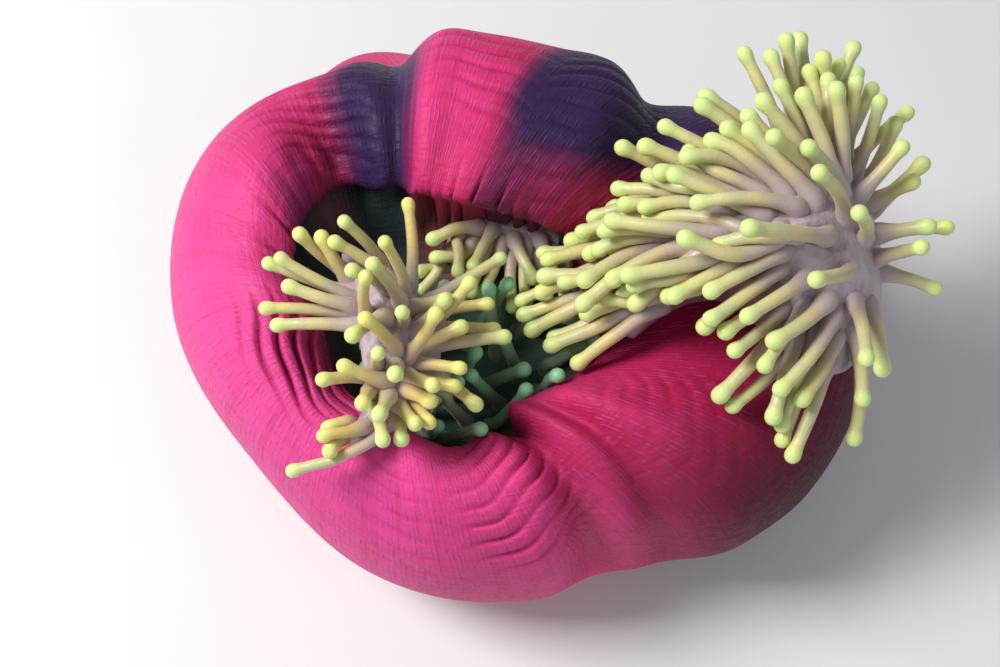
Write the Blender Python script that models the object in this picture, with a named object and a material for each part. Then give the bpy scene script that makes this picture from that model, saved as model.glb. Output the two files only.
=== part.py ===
"""Magnificent sea anemone (Heteractis magnifica), half closed, as a life-size still model.

The column stands on its pedal disc at the origin, +Z up. Its rim is drawn in over the oral disc and
leaves a hole towards the front left. Folds of the oral disc spill over the rim, a wide one on the
right and a small one on the left, and carry most of the finger tentacles. Lengths are in millimetres
until a mesh is made, which is in metres.
"""

import math
from dataclasses import dataclass

import bmesh
import bpy
import numpy as np
from mathutils import Matrix
from mathutils.bvhtree import BVHTree

MM = 0.001
GAP = 0.35  # clearance left between two pieces
REACH = 400.0  # size of a cutter that has to pass right through the animal

# The column. Radii and heights have one value every 30 degrees, from +X towards +Y.
OPENING_CENTRE = np.array((-28.0, -18.0))
BELLY_RADII = (149, 136, 120, 119, 131, 154, 143, 123, 117, 115, 108, 135)
OPENING_RADII = (56, 60, 49, 45, 55, 68, 51, 43, 45, 50, 45, 48)
RIM_HEIGHTS = (118, 132, 149, 156, 151, 146, 139, 131, 125, 120, 119, 118)
FOOT_SHARE = 0.68  # pedal disc radius over belly radius
FOOT_HEIGHT = 9.0
FLOOR_HEIGHT = 78.0  # oral disc at the bottom of the hole
RIM_BASE_HEIGHT = 70.0  # where the rim is parted from the column below it
DISC_RADIUS = 33.0
COLUMN_STEPS = (34, 17)  # faces round the column, and from the foot to the mouth

FOLD_EDGE = 5.0  # thickness of a disc fold at its edges
FOLD_STEPS = (7, 9)  # points across a disc fold and along it

# The tentacles.
STEM_RADIUS = 2.7
TIP_RADIUS = 3.4
ROOT_SPACING = 7.2  # least distance between the roots of a tuft
ROOT_CLEARANCE = 2.0  # a root nearer the column than this, or under its skin, grows nothing
ROOT_DEPTH = 4.5  # how far a root is sunk in the disc
PATH_POINTS = 9
SPACING_ROUNDS = 100
NEIGHBOUR_GAP = 1.0

SKIN_MAGENTA = (0.62, 0.035, 0.13)
DISC_LILAC = (0.42, 0.31, 0.36)
TENTACLE_GREEN = (0.60, 0.58, 0.26)


@dataclass(frozen=True)
class Crease:
    """A fold line that runs over the rim, from an angle at the belly to an angle at the lip."""

    belly_angle: float
    lip_angle: float
    depth: float
    half_width: float
    start: float
    end: float
    overlap: float = 0.0  # how far the side at larger angles stands above the other one


CREASES = (
    Crease(134, 131, 15.0, 9.0, 0.44, 0.80),
    Crease(113, 111, 7.0, 5.0, 0.26, 0.80, overlap=-3.0),
    Crease(62, 30, 9.0, 7.0, 0.24, 0.80),
    Crease(287, 299, 10.0, 7.0, 0.10, 0.80, overlap=3.0),
    Crease(306, 318, 4.0, 5.0, 0.22, 0.70, overlap=7.0),
    Crease(215, 212, 9.0, 20.0, 0.46, 0.80),
    Crease(4, 2, 10.0, 26.0, 0.42, 0.80),
    Crease(176, 170, 4.0, 7.0, 0.40, 0.75),
)
SKIRT = Crease(118, 118, -34.0, 17.0, 0.10, 0.34)  # the lower fold that shows behind the rim


@dataclass(frozen=True)
class DiscFold:
    """A fold of the oral disc: a soft slab lofted along three lines, tentacles on its upper side."""

    name: str
    inner: tuple
    ridge: tuple
    outer: tuple
    ridge_at: float  # place of the ridge across the fold, from -1 to 1
    thickness: float  # under the ridge, more than at the edges


DISC_FOLDS = (
    DiscFold(
        "fold_right",
        inner=((44, -25, 115), (30, -18, 110), (22, -8, 106), (29, 8, 108), (60, 30, 122)),
        ridge=((89, -21, 142), (110, -19, 152), (121, -6, 158), (119, 17, 156), (110, 48, 142)),
        outer=((98, -41, 122), (125, -39, 123), (141, -5, 126), (141, 36, 124), (127, 72, 115)),
        ridge_at=0.5,
        thickness=20.0,
    ),
    DiscFold(
        "fold_left",
        inner=((-46, 4, 108), (-34, -12, 110), (-31, -30, 112), (-33, -48, 109), (-43, -64, 106)),
        ridge=((-58, 0, 138), (-49, -24, 147), (-45, -44, 148), (-46, -60, 141), (-55, -71, 130)),
        outer=((-69, 2, 133), (-64, -21, 139), (-59, -41, 140), (-58, -58, 134), (-63, -72, 125)),
        ridge_at=0.0,
        thickness=16.0,
    ),
    DiscFold(
        "fold_back",
        inner=((-32, 20, 96), (-8, 18, 96), (16, 16, 96)),
        ridge=((-33, 28, 103), (-8, 27, 104), (17, 25, 103)),
        outer=((-34, 34, 104), (-8, 34, 105), (18, 32, 104)),
        ridge_at=0.0,
        thickness=8.0,
    ),
)


@dataclass(frozen=True)
class Tuft:
    """Tentacles that grow close together: where from, which way, how many and how long."""

    fold: str
    root: tuple
    towards: tuple
    fan: float  # degrees
    count: int
    lengths: tuple


TUFTS = (
    Tuft("fold_left", (-62, -26, 133), (-0.92, 0.22, 0.25), 9, 3, (30, 37)),
    Tuft("fold_left", (-66, -18, 132), (-0.42, 0.42, 0.80), 16, 1, (24, 29)),
    Tuft("fold_left", (-56, -10, 138), (-0.54, 0.06, 0.84), 5, 1, (30, 32)),
    Tuft("fold_left", (-52, -18, 140), (-0.84, 0.08, 0.54), 5, 1, (32, 34)),
    Tuft("fold_left", (-46, -20, 138), (-0.34, 0.14, 0.92), 5, 1, (30, 32)),
    Tuft("fold_left", (-51, -27, 141), (-0.60, 0.02, 0.80), 12, 1, (29, 30)),
    Tuft("fold_left", (-42, -4, 124), (-0.16, 0.60, 0.79), 5, 1, (35, 37)),
    Tuft("fold_left", (-44, -22, 138), (0.92, -0.10, 0.36), 5, 1, (17, 18)),
    Tuft("fold_left", (-39, -30, 135), (0.54, 0.50, 0.68), 5, 1, (30, 32)),
    Tuft("fold_left", (-36, -12, 118), (0.85, 0.39, 0.20), 5, 1, (37, 39)),
    Tuft("fold_left", (-50, -34, 145), (0.02, -0.20, 0.97), 14, 1, (22, 27)),
    Tuft("fold_left", (-53, -34, 145), (-0.60, -0.62, 0.50), 5, 1, (24, 25)),
    Tuft("fold_left", (-47, -46, 146), (-0.62, 0.05, 0.78), 5, 1, (22, 24)),
    Tuft("fold_left", (-43, -46, 146), (0.25, 0.10, 0.96), 5, 1, (27, 29)),
    Tuft("fold_left", (-38, -38, 138), (0.76, 0.50, 0.42), 16, 1, (20, 24)),
    Tuft("fold_left", (-36, -38, 134), (0.94, 0.30, 0.10), 5, 1, (32, 34)),
    Tuft("fold_left", (-32, -24, 118), (0.95, 0.10, 0.05), 16, 1, (25, 29)),
    Tuft("fold_left", (-38, -47, 141), (0.80, -0.25, 0.50), 5, 1, (22, 24)),
    Tuft("fold_left", (-35, -46, 134), (0.84, -0.50, -0.05), 5, 1, (29, 30)),
    Tuft("fold_left", (-37, -53, 140), (0.86, -0.20, 0.00), 5, 1, (18, 20)),
    Tuft("fold_left", (-46, -53, 148), (0.08, -0.30, 0.95), 14, 1, (22, 25)),
    Tuft("fold_left", (-42, -57, 145), (0.61, -0.56, 0.56), 5, 1, (24, 25)),
    Tuft("fold_left", (-51, -57, 143), (-0.88, -0.10, 0.46), 18, 1, (18, 22)),
    Tuft("fold_left", (-48, -60, 142), (-0.10, -0.65, 0.75), 16, 1, (17, 20)),
    Tuft("fold_left", (-41, -61, 141), (0.50, -0.68, 0.53), 16, 2, (18, 22)),
    Tuft("fold_left", (-47, -64, 138), (0.12, -0.88, 0.45), 16, 1, (17, 20)),
    Tuft("fold_left", (-58, -67, 130), (-0.95, -0.16, 0.20), 4, 1, (39, 40)),
    Tuft("fold_left", (-60, -69, 129), (-0.66, -0.60, 0.40), 26, 2, (15, 20)),
    Tuft("fold_back", (-26, 25, 103), (-0.75, -0.60, 0.10), 14, 3, (27, 33)),
    Tuft("fold_back", (-15, 25, 104), (-0.35, -0.90, 0.10), 14, 3, (24, 30)),
    Tuft("fold_back", (-2, 25, 104), (0.00, -0.95, 0.10), 14, 3, (22, 27)),
    Tuft("fold_back", (10, 24, 103), (0.40, -0.85, 0.10), 14, 3, (22, 28)),
)


@dataclass(frozen=True)
class Lie:
    """How tentacles lie near one place: which way they point, their length and how far apart they grow."""

    place: tuple
    towards: tuple
    length: float
    spacing: float


LIES = (
    Lie((107, 39, 148), (-0.45, 0.70, 0.55), 45, 7.0),
    Lie((114, 47, 140), (-0.20, 0.50, 0.85), 42, 7.0),
    Lie((122, 45, 138), (0.20, 0.65, 0.75), 36, 8.0),
    Lie((137, 41, 127), (0.20, 0.60, 0.75), 30, 10.0),
    Lie((100, 25, 156), (-0.85, 0.45, 0.25), 38, 7.0),
    Lie((114, 26, 154), (-0.25, 0.50, 0.80), 36, 7.5),
    Lie((103, 15, 160), (-0.80, 0.25, 0.55), 38, 7.0),
    Lie((97, 2, 165), (-0.90, 0.30, 0.10), 40, 7.5),
    Lie((92, -9, 164), (-0.90, 0.20, -0.15), 42, 7.5),
    Lie((119, 0, 158), (-0.60, -0.10, 0.80), 38, 12.0),
    Lie((114, -18, 155), (-0.60, -0.30, 0.75), 40, 12.0),
    Lie((86, -11, 161), (-0.85, 0.15, -0.35), 44, 7.0),
    Lie((72, -10, 155), (-0.90, 0.00, -0.40), 44, 7.0),
    Lie((66, -16, 147), (-0.90, -0.05, -0.40), 42, 7.0),
    Lie((46, -12, 131), (-0.90, -0.10, -0.40), 38, 7.0),
    Lie((62, -18, 140), (-0.90, -0.30, -0.35), 38, 7.0),
    Lie((81, -16, 149), (-0.85, -0.30, 0.35), 38, 7.5),
    Lie((93, -15, 155), (-0.80, -0.50, 0.25), 40, 9.0),
    Lie((88, -22, 143), (-0.90, -0.35, -0.20), 38, 6.5),
    Lie((97, -24, 144), (-0.70, -0.65, 0.25), 32, 6.5),
    Lie((103, -28, 141), (-0.65, -0.60, -0.40), 40, 6.5),
    Lie((108, -31, 139), (-0.50, -0.75, 0.40), 33, 6.5),
    Lie((113, -34, 136), (-0.35, -0.65, -0.65), 44, 6.5),
    Lie((120, -33, 135), (-0.15, -0.65, -0.75), 42, 6.5),
    Lie((128, -22, 139), (-0.30, -0.70, 0.60), 36, 12.0),
    Lie((129, -27, 131), (0.30, -0.70, -0.60), 34, 8.5),
    Lie((124, 0, 156), (-0.35, -0.10, 0.90), 34, 13.0),
    Lie((129, -14, 145), (-0.40, -0.35, 0.85), 36, 13.0),
    Lie((139, -2, 132), (0.80, -0.40, 0.40), 26, 12.0),
    Lie((140, 10, 132), (0.90, -0.20, 0.35), 26, 12.0),
    Lie((136, 21, 137), (0.70, 0.60, 0.40), 26, 12.0),
)
LIE_FOLD = "fold_right"
LIE_REACH = 8.0  # how far round its place a lie is followed
STRAY = 0.22
THINNING = 1.32  # spacing in the solid over that of the lies


# --- curves -------------------------------------------------------------------------------------


def catmull_rom(a, b, c, d, f):
    """Point at f of the way from b to c on the smooth curve through a, b, c and d."""
    return b + 0.5 * f * (c - a + f * (2 * a - 5 * b + 4 * c - d + f * (3 * (b - c) + d - a)))


def round_the_body(values, theta):
    """Smooth closed curve through values that stand evenly round the body."""
    values = np.asarray(values, float)
    place = np.asarray(theta) / (2 * math.pi) % 1.0 * len(values)
    i = np.floor(place).astype(int)
    a, b, c, d = (values[(i + k) % len(values)] for k in (-1, 0, 1, 2))
    return catmull_rom(a, b, c, d, place - i)


def along(values, share):
    """Smooth open curve through values, read at a share of its length from 0 to 1."""
    values = np.asarray(values, float)
    last = len(values) - 1
    place = np.clip(share, 0, 1) * last
    i = np.clip(np.floor(place).astype(int), 0, last - 1)
    f = place - i
    before, after = 2 * values[0] - values[1], 2 * values[-1] - values[-2]
    padded = np.concatenate([before[None], values, after[None]])
    a, b, c, d = (padded[i + k] for k in range(4))
    return catmull_rom(a, b, c, d, np.reshape(f, np.shape(f) + (1,) * (values.ndim - 1)))


def smooth_step(low, high, x):
    """0 below low, 1 above high and smooth in between."""
    f = np.clip((x - low) / (high - low), 0, 1)
    return f * f * (3 - 2 * f)


def turned(a, b):
    """Angle from b to a in degrees, between -180 and 180."""
    return (a - b + 180) % 360 - 180


def unit(v):
    return v / np.maximum(np.linalg.norm(v, axis=-1, keepdims=True), 1e-9)


# --- the column's surface -----------------------------------------------------------------------


def plain_column(theta, run):
    """The column without its folds. run goes from 0 at the foot over the rim to 1 at the mouth."""
    belly = round_the_body(BELLY_RADII, theta)
    opening = round_the_body(OPENING_RADII, theta)
    rim = round_the_body(RIM_HEIGHTS, theta)
    stations = (  # share of the way to the opening's centre, radius, height
        (0.00, FOOT_SHARE * belly, 0 * rim),
        (0.00, (FOOT_SHARE + 0.03) * belly, 0.10 * rim),
        (0.00, 0.93 * belly, 0.26 * rim),
        (0.00, belly, 0.46 * rim),
        (0.10, 0.95 * belly, 0.74 * rim),
        (0.40, opening + 0.62 * (belly - opening), 0.94 * rim),
        (0.72, opening + 0.28 * (belly - opening), rim),
        (1.00, opening, 0.90 * rim),
        (1.00, opening + 8, 0.76 * rim),
        (1.00, 0.97 * opening, FLOOR_HEIGHT + 9 + 0 * rim),
        (1.00, 0.50 * opening, FLOOR_HEIGHT + 0 * rim),
        (1.00, 0 * opening, FLOOR_HEIGHT + 1 + 0 * rim),
    )
    rows = np.stack([np.stack(np.broadcast_arrays(*s), -1) for s in stations])
    flat = rows.reshape(len(stations), -1, 3)
    last = len(stations) - 1
    place = np.clip(run, 0, 1).ravel() * last
    i = np.clip(np.floor(place).astype(int), 0, last - 1)
    which = np.arange(place.size)
    a, b, c, d = (flat[np.clip(i + k, 0, last), which] for k in (-1, 0, 1, 2))
    shift, radius, height = catmull_rom(a, b, c, d, (place - i)[:, None]).T
    angle = np.ravel(theta)
    centre = shift[:, None] * OPENING_CENTRE
    xy = centre + radius[:, None] * np.stack([np.cos(angle), np.sin(angle)], -1)
    return np.concatenate([xy, height[:, None]], 1).reshape(np.shape(theta) + (3,))


def crease_depth(crease, theta, run):
    """How far one crease draws the skin in at each place."""
    progress = smooth_step(0.27, 0.64, run)
    angle = crease.belly_angle + turned(crease.lip_angle, crease.belly_angle) * progress
    off = turned(np.degrees(theta), angle) / crease.half_width
    window = smooth_step(crease.start, crease.start + 0.12, run)
    window = window * (1 - smooth_step(crease.end - 0.10, crease.end, run))
    valley = crease.depth * np.exp(-(off**2)) - 0.25 * crease.depth * np.exp(-((abs(off) - 2) ** 2))
    step = crease.overlap * (1 / (1 + np.exp(-4 * off)) - 0.5) * np.exp(-((off / 4) ** 2))
    return window * (valley - 2 * step)


def swell(theta, run):
    """The slow bulges of the flank."""
    flank = smooth_step(0.05, 0.2, run) * (1 - smooth_step(0.5, 0.66, run))
    waves = np.sin(3 * theta + 9 * run) + 0.7 * np.sin(5 * theta - 7 * run + 1)
    return 1.6 * flank * waves


def core_ring(theta):
    """The line round the middle of the thick rim, which the folds are drawn towards."""
    radius = (round_the_body(BELLY_RADII, theta) + round_the_body(OPENING_RADII, theta)) / 2
    height = 0.62 * round_the_body(RIM_HEIGHTS, theta)
    xy = OPENING_CENTRE / 2 + radius[..., None] * np.stack([np.cos(theta), np.sin(theta)], -1)
    return np.concatenate([xy, height[..., None]], -1)


def column_point(theta, run):
    """The column's skin with its folds, each drawn towards the core of the rim or, low down, inwards."""
    plain = plain_column(theta, run)
    level = np.stack([np.cos(theta), np.sin(theta), 0 * theta], -1)
    from_core = unit(plain - core_ring(theta))
    outwards = unit(level + (from_core - level) * smooth_step(0.28, 0.46, run)[..., None])
    push = swell(theta, run) - sum(crease_depth(c, theta, run) for c in (*CREASES, SKIRT))
    return plain + outwards * push[..., None]


# --- meshes -------------------------------------------------------------------------------------


def grid_faces(columns, rows, closed_round):
    """Quads between neighbouring points of a grid, stored column by column."""
    around = range(columns if closed_round else columns - 1)
    return [
        (i * rows + j, (i + 1) % columns * rows + j, (i + 1) % columns * rows + j + 1, i * rows + j + 1)
        for i in around
        for j in range(rows - 1)
    ]


def mesh_object(name, points, faces, collection):
    """An object whose mesh has these points, given in millimetres, with its normals outwards."""
    mesh = bpy.data.meshes.new(name)
    mesh.from_pydata((np.asarray(points) * MM).tolist(), [], faces)
    work = bmesh.new()
    work.from_mesh(mesh)
    bmesh.ops.recalc_face_normals(work, faces=work.faces)
    if work.calc_volume(signed=True) < 0:
        bmesh.ops.reverse_faces(work, faces=work.faces)
    bmesh.ops.triangulate(work, faces=work.faces)
    work.to_mesh(mesh)
    work.free()
    made = bpy.data.objects.new(name, mesh)
    collection.objects.link(made)
    return made


def column_mesh(name, collection):
    """The whole column as one closed solid."""
    around, up = COLUMN_STEPS
    theta, run = np.meshgrid(
        np.arange(around) * 2 * math.pi / around, np.arange(up) / up, indexing="ij"
    )
    points = column_point(theta, run)
    mouth = np.array([[*OPENING_CENTRE, FLOOR_HEIGHT + 1]])
    faces = grid_faces(around, up, closed_round=True)
    faces += [(i * up + up - 1, (i + 1) % around * up + up - 1, around * up) for i in range(around)]
    faces.append([i * up for i in reversed(range(around))])
    return mesh_object(name, np.concatenate([points.reshape(-1, 3), mouth]), faces, collection)


def across_fold(fold, inner, ridge, outer, b):
    """Smooth line across a fold, through its inner edge, its ridge and its outer edge."""
    at = fold.ridge_at
    to_inner = (b - at) * (b - 1) / (2 * (1 + at))
    to_ridge = (1 - b * b) / (1 - at * at)
    to_outer = (b - at) * (b + 1) / (2 * (1 - at))
    return to_inner * inner + to_ridge * ridge + to_outer * outer


def fold_surface(fold, a, b):
    """Point on the upper side of a disc fold: a runs along its ridge, b across it from -1 to 1."""
    inner, ridge, outer = (along(line, a) for line in (fold.inner, fold.ridge, fold.outer))
    return across_fold(fold, inner, ridge, outer, np.asarray(b)[..., None])


def fold_frame(fold, a, b):
    """Point, unit normal, unit direction along the ridge and unit direction across it."""
    step = 1e-3
    a = np.clip(a, step, 1 - step)
    along_ridge = unit(fold_surface(fold, a + step, b) - fold_surface(fold, a - step, b))
    across = unit(fold_surface(fold, a, b + step) - fold_surface(fold, a, b - step))
    start, middle, end = np.array(fold.inner[0]), np.array(fold.outer[0]), np.array(fold.ridge[-1])
    upwards = np.sign(np.cross(middle - start, end - start)[2])
    normal = unit(np.cross(across, along_ridge)) * upwards
    return fold_surface(fold, a, b), normal, along_ridge, across


def fold_mesh(fold, name, collection):
    """A disc fold as a closed slab, thickest under its ridge."""
    rows, columns = FOLD_STEPS
    a, b = np.meshgrid(np.linspace(0, 1, columns), np.linspace(-1, 1, rows), indexing="ij")
    inner, ridge, outer = (along(line, a) for line in (fold.inner, fold.ridge, fold.outer))
    low = ridge - (0, 0, fold.thickness)
    under = across_fold(fold, inner, low, outer, b[..., None]) - (0, 0, FOLD_EDGE)
    loop = np.concatenate([fold_surface(fold, a, b), under[:, ::-1]], 1)
    around = loop.shape[1]
    faces = grid_faces(columns, around, closed_round=False)
    faces += [
        (i * around + around - 1, (i + 1) * around + around - 1, (i + 1) * around, i * around)
        for i in range(columns - 1)
    ]
    for first in (0, (columns - 1) * around):
        last = first + around - 1
        faces += [(first + j, first + j + 1, last - j - 1, last - j) for j in range(rows - 1)]
    return mesh_object(name, loop.reshape(-1, 3), faces, collection)


# --- tentacles ----------------------------------------------------------------------------------


@dataclass
class Tentacle:
    """One tentacle: the node it grows from and its path, in millimetres."""

    owner: str
    path: np.ndarray


def lying_tentacles(fold):
    """Tentacles all over one disc fold, each lying as the lies near its root do."""
    random = np.random.RandomState(7)
    a, b = random.uniform(0.02, 0.98, 4000), random.uniform(-0.9, 0.94, 4000)
    places = fold_surface(fold, a, b)
    apart = ((places[:, None] - np.array([lie.place for lie in LIES])) ** 2).sum(-1)
    share = np.exp(-apart / (2 * LIE_REACH**2)) + 1e-12
    share /= share.sum(1, keepdims=True)
    towards = share @ np.array([unit(np.array(lie.towards)) for lie in LIES])
    length, spacing = (share @ np.array([[lie.length, THINNING * lie.spacing] for lie in LIES])).T
    made, roots = [], np.empty((0, 3))
    for k, place in enumerate(places):
        if len(roots) and np.linalg.norm(roots - place, axis=1).min() < spacing[k]:
            continue
        roots = np.vstack([roots, place])
        root, normal, _, _ = fold_frame(fold, a[k], b[k])
        flow = unit(unit(towards[k]) + random.uniform(-STRAY, STRAY, 3))
        path = grown_path(root, normal, flow, length[k] * random.uniform(0.82, 1.1), random)
        made.append(Tentacle(fold.name, path))
    return made


def spread_roots(wishes, places):
    """For each wished root the nearest of the places, after the roots have been moved apart."""
    roots = wishes.copy()
    for _ in range(40):
        between = roots[:, None] - roots[None, :]
        distance = np.linalg.norm(between, axis=-1) + 1e-6
        push = np.maximum(ROOT_SPACING - distance, 0) * (distance > 1e-3)
        roots += 0.3 * (between / distance[..., None] * push[..., None]).sum(1)
        nearest = ((places[None] - roots[:, None]) ** 2).sum(-1).argmin(1)
        roots = places[nearest]
    return nearest


def tuft_tentacles(fold, random):
    """The tentacles of all the tufts on one fold."""
    a, b = np.meshgrid(np.linspace(0.06, 0.94, 90), np.linspace(-0.8, 0.85, 70), indexing="ij")
    wishes, flows, lengths = [], [], []
    for tuft in (t for t in TUFTS if t.fold == fold.name):
        towards = unit(np.array(tuft.towards))
        side = unit(np.cross(towards, (0.0, 0.0, 1.0)))
        rise = np.cross(side, towards)
        for k in range(tuft.count):
            turn = 2.4 * k + random.uniform(-0.3, 0.3)
            out = math.sqrt((k + 0.4) / tuft.count)
            lean = math.tan(math.radians(tuft.fan)) * out
            spread = out * 4 * math.sqrt(tuft.count)
            wishes.append(tuft.root + spread * np.array((math.cos(turn), math.sin(turn), 0)))
            flows.append(unit(towards + lean * (math.cos(turn) * side + math.sin(turn) * rise)))
            lengths.append(random.uniform(*tuft.lengths))
    chosen = spread_roots(np.array(wishes), fold_surface(fold, a, b).reshape(-1, 3))
    made = []
    for place, flow, length in zip(chosen, flows, lengths):
        root, normal, _, _ = fold_frame(fold, a.flat[place], b.flat[place])
        made.append(Tentacle(fold.name, grown_path(root, normal, flow, length, random)))
    return made


def all_tentacles():
    """Every tentacle, before they are moved apart."""
    made = []
    for fold in DISC_FOLDS:
        if fold.name == LIE_FOLD:
            made += lying_tentacles(fold)
        else:
            made += tuft_tentacles(fold, np.random.RandomState(11))
    return made + disc_tentacles()


def disc_tentacles():
    """Tentacles in rings on the bottom of the hole, leaning outwards from the mouth."""
    random = np.random.RandomState(8)
    made = []
    for ring, count in ((13.0, 4), (25.0, 7)):
        for k in range(count):
            angle = 2 * math.pi * (k + random.uniform(-0.2, 0.2)) / count + ring
            outward = np.array((math.cos(angle), math.sin(angle), 0))
            root = np.array((*OPENING_CENTRE, FLOOR_HEIGHT)) + ring * outward
            flow = unit(0.5 * outward * ring / 25 + np.array((0.25, 0.0, 1.0)))
            length = random.uniform(34, 44)
            made.append(Tentacle("oral_disc", grown_path(root, np.array((0, 0, 1.0)), flow, length, random)))
    return made


def grown_path(root, normal, flow, length, random):
    """A path that leaves the disc along its normal, turns into the flow and droops a little."""
    step = length / (PATH_POINTS - 2)
    sway = unit(np.cross(flow, normal) + 1e-6) * random.uniform(-0.35, 0.35)
    points = [root - ROOT_DEPTH * normal, root]
    for k in range(PATH_POINTS - 2):
        turn = min(1.0, (k + 0.6) / 3)
        sag = np.array((0, 0, -0.035 * k))
        way = unit((1 - turn) * (normal + 0.3 * flow) + turn * (flow + sag + sway * k / 6))
        points.append(points[-1] + step * way)
    return np.array(points)


def kept_apart(tentacles, obstacles):
    """Moves the paths apart and off the skin, keeping each one's length and smoothness."""
    paths = np.stack([t.path for t in tentacles])
    first = paths.copy()
    count, points, _ = paths.shape
    segment = np.linalg.norm(np.diff(first, axis=1), axis=2)
    radius = np.full(points, STEM_RADIUS)
    radius[-1] = TIP_RADIUS
    owner = np.array([hash_free(t.owner) for t in tentacles])
    free = slice(2, points)
    which = np.repeat(np.arange(count), points - 2)
    size = np.tile(radius[free], count)
    apart = size[:, None] + size[None, :] + NEIGHBOUR_GAP
    apart = apart + 1.6 * (owner[which][:, None] != owner[which][None, :])
    apart[which[:, None] == which[None, :]] = 0
    rise = np.tile(np.arange(2, points) / points, count)
    for turn in range(SPACING_ROUNDS):
        flat = paths[:, free].reshape(-1, 3)
        between = flat[:, None] - flat[None, :]
        distance = np.sqrt((between**2).sum(-1)) + 1e-6
        overlap = np.maximum(apart - distance, 0)
        push = between / distance[..., None]
        push[..., 2] += 0.5 * np.sign(rise[:, None] - rise[None, :])
        move = 0.42 * (push * overlap[..., None]).sum(1)
        move = move / np.maximum(1, np.linalg.norm(move, axis=1, keepdims=True) / 2.5)
        paths[:, free] += move.reshape(count, points - 2, 3)
        middle = (paths[:, 1:-1] + (paths[:, :-2] + paths[:, 2:]) / 2) / 2
        paths[:, 2:-1] += 0.5 * (middle[:, 1:] - paths[:, 2:-1])
        paths[:, free] += 0.02 * (first[:, free] - paths[:, free])
        for k in range(1, points - 1):
            way = unit(paths[:, k + 1] - paths[:, k])
            paths[:, k + 1] = paths[:, k] + way * segment[:, k, None]
        if turn % 3 == 0 or turn == SPACING_ROUNDS - 1:
            for i in range(count):
                for k in range(2, points):
                    paths[i, k] = off_the_skin(paths[i, k], radius[k] + GAP + 0.7, obstacles)
    for tentacle, path in zip(tentacles, paths):
        tentacle.path = path


def hash_free(name):
    """A number for a name that is the same in each run."""
    return sum(ord(c) * 31**i for i, c in enumerate(name)) % 1000003


def height_over(point, tree):
    """How far outside the nearest face of a skin a point lies."""
    place, normal, _, _ = tree.find_nearest(point.tolist())
    return (point - np.array(place)) @ np.array(normal)


def rooted_in_the_open(tentacle, column_tree):
    """Whether a tentacle's root is clear of the column. Those of the oral disc stand on it."""
    return tentacle.owner == "oral_disc" or height_over(tentacle.path[1], column_tree) > ROOT_CLEARANCE


def off_the_skin(point, clearance, obstacles):
    """The point, moved out along the skin's normal if it lies nearer than clearance."""
    for tree in obstacles:
        place, normal, _, distance = tree.find_nearest(point.tolist())
        height = (point - np.array(place)) @ np.array(normal)
        if height < clearance and distance < 3 * clearance:
            point = point + np.array(normal) * (clearance - height)
    return point


def tree_of(obj):
    """A search tree of an object's faces, in millimetres."""
    points = [v.co / MM for v in obj.data.vertices]
    return BVHTree.FromPolygons(points, [tuple(p.vertices) for p in obj.data.polygons])


def tentacle_tube(name, path, collection):
    """A curve tube along the path, a little swollen at the tip, as a closed mesh object."""
    shape = ((0.0, 1.0), (0.4, 0.92), (0.88, TIP_RADIUS / STEM_RADIUS), (1.0, 0.6))
    curve = bpy.data.curves.new(name, "CURVE")
    curve.dimensions = "3D"
    curve.bevel_depth = STEM_RADIUS * MM
    curve.bevel_resolution = 1
    curve.use_fill_caps = True
    curve.twist_mode = "MINIMUM"
    spline = curve.splines.new("POLY")
    spline.points.add(len(shape) - 1)
    for point, (share, radius) in zip(spline.points, shape):
        point.co = (*(along(path, share) * MM), 1)
        point.radius = radius
    tube = bpy.data.objects.new(name, curve)
    collection.objects.link(tube)
    bpy.context.view_layer.update()
    mesh = bpy.data.meshes.new_from_object(tube.evaluated_get(bpy.context.evaluated_depsgraph_get()))
    bpy.data.objects.remove(tube)
    work = bmesh.new()
    work.from_mesh(mesh)
    bmesh.ops.remove_doubles(work, verts=work.verts, dist=1e-6)
    bmesh.ops.recalc_face_normals(work, faces=work.faces)
    work.to_mesh(mesh)
    work.free()
    made = bpy.data.objects.new(name, mesh)
    collection.objects.link(made)
    return made


# --- solids -------------------------------------------------------------------------------------


def combined(obj, operation, other, use_self=False):
    """Applies an exact Boolean to obj at once."""
    modifier = obj.modifiers.new("boolean", "BOOLEAN")
    modifier.operation = operation
    modifier.solver = "EXACT"
    modifier.use_self = use_self
    modifier.object = other
    bpy.context.view_layer.update()
    mesh = bpy.data.meshes.new_from_object(obj.evaluated_get(bpy.context.evaluated_depsgraph_get()))
    obj.modifiers.remove(modifier)
    obj.data = mesh
    return obj


def grown(obj, distance, collection):
    """A copy of obj with its skin moved outwards."""
    work = bmesh.new()
    work.from_mesh(obj.data)
    work.normal_update()
    moved = [vertex.co + vertex.normal * distance * MM for vertex in work.verts]
    for vertex, place in zip(work.verts, moved):
        vertex.co = place
    mesh = bpy.data.meshes.new(f"grown_{obj.name}")
    work.to_mesh(mesh)
    work.free()
    made = bpy.data.objects.new(f"grown_{obj.name}", mesh)
    collection.objects.link(made)
    return made


def volume_of(obj):
    """Volume of obj's mesh in cubic metres, or 0 if it isn't closed."""
    work = bmesh.new()
    work.from_mesh(obj.data)
    closed = bool(work.faces) and all(edge.is_manifold for edge in work.edges)
    volume = work.calc_volume() if closed else 0.0
    work.free()
    return volume


def tidied(obj, distance):
    """Merges points nearer than distance, unless that would open the mesh."""
    work = bmesh.new()
    work.from_mesh(obj.data)
    bmesh.ops.remove_doubles(work, verts=work.verts, dist=distance * MM)
    bmesh.ops.dissolve_degenerate(work, edges=work.edges, dist=distance * MM)
    if work.faces and all(edge.is_manifold for edge in work.edges):
        work.to_mesh(obj.data)
    work.free()


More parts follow.
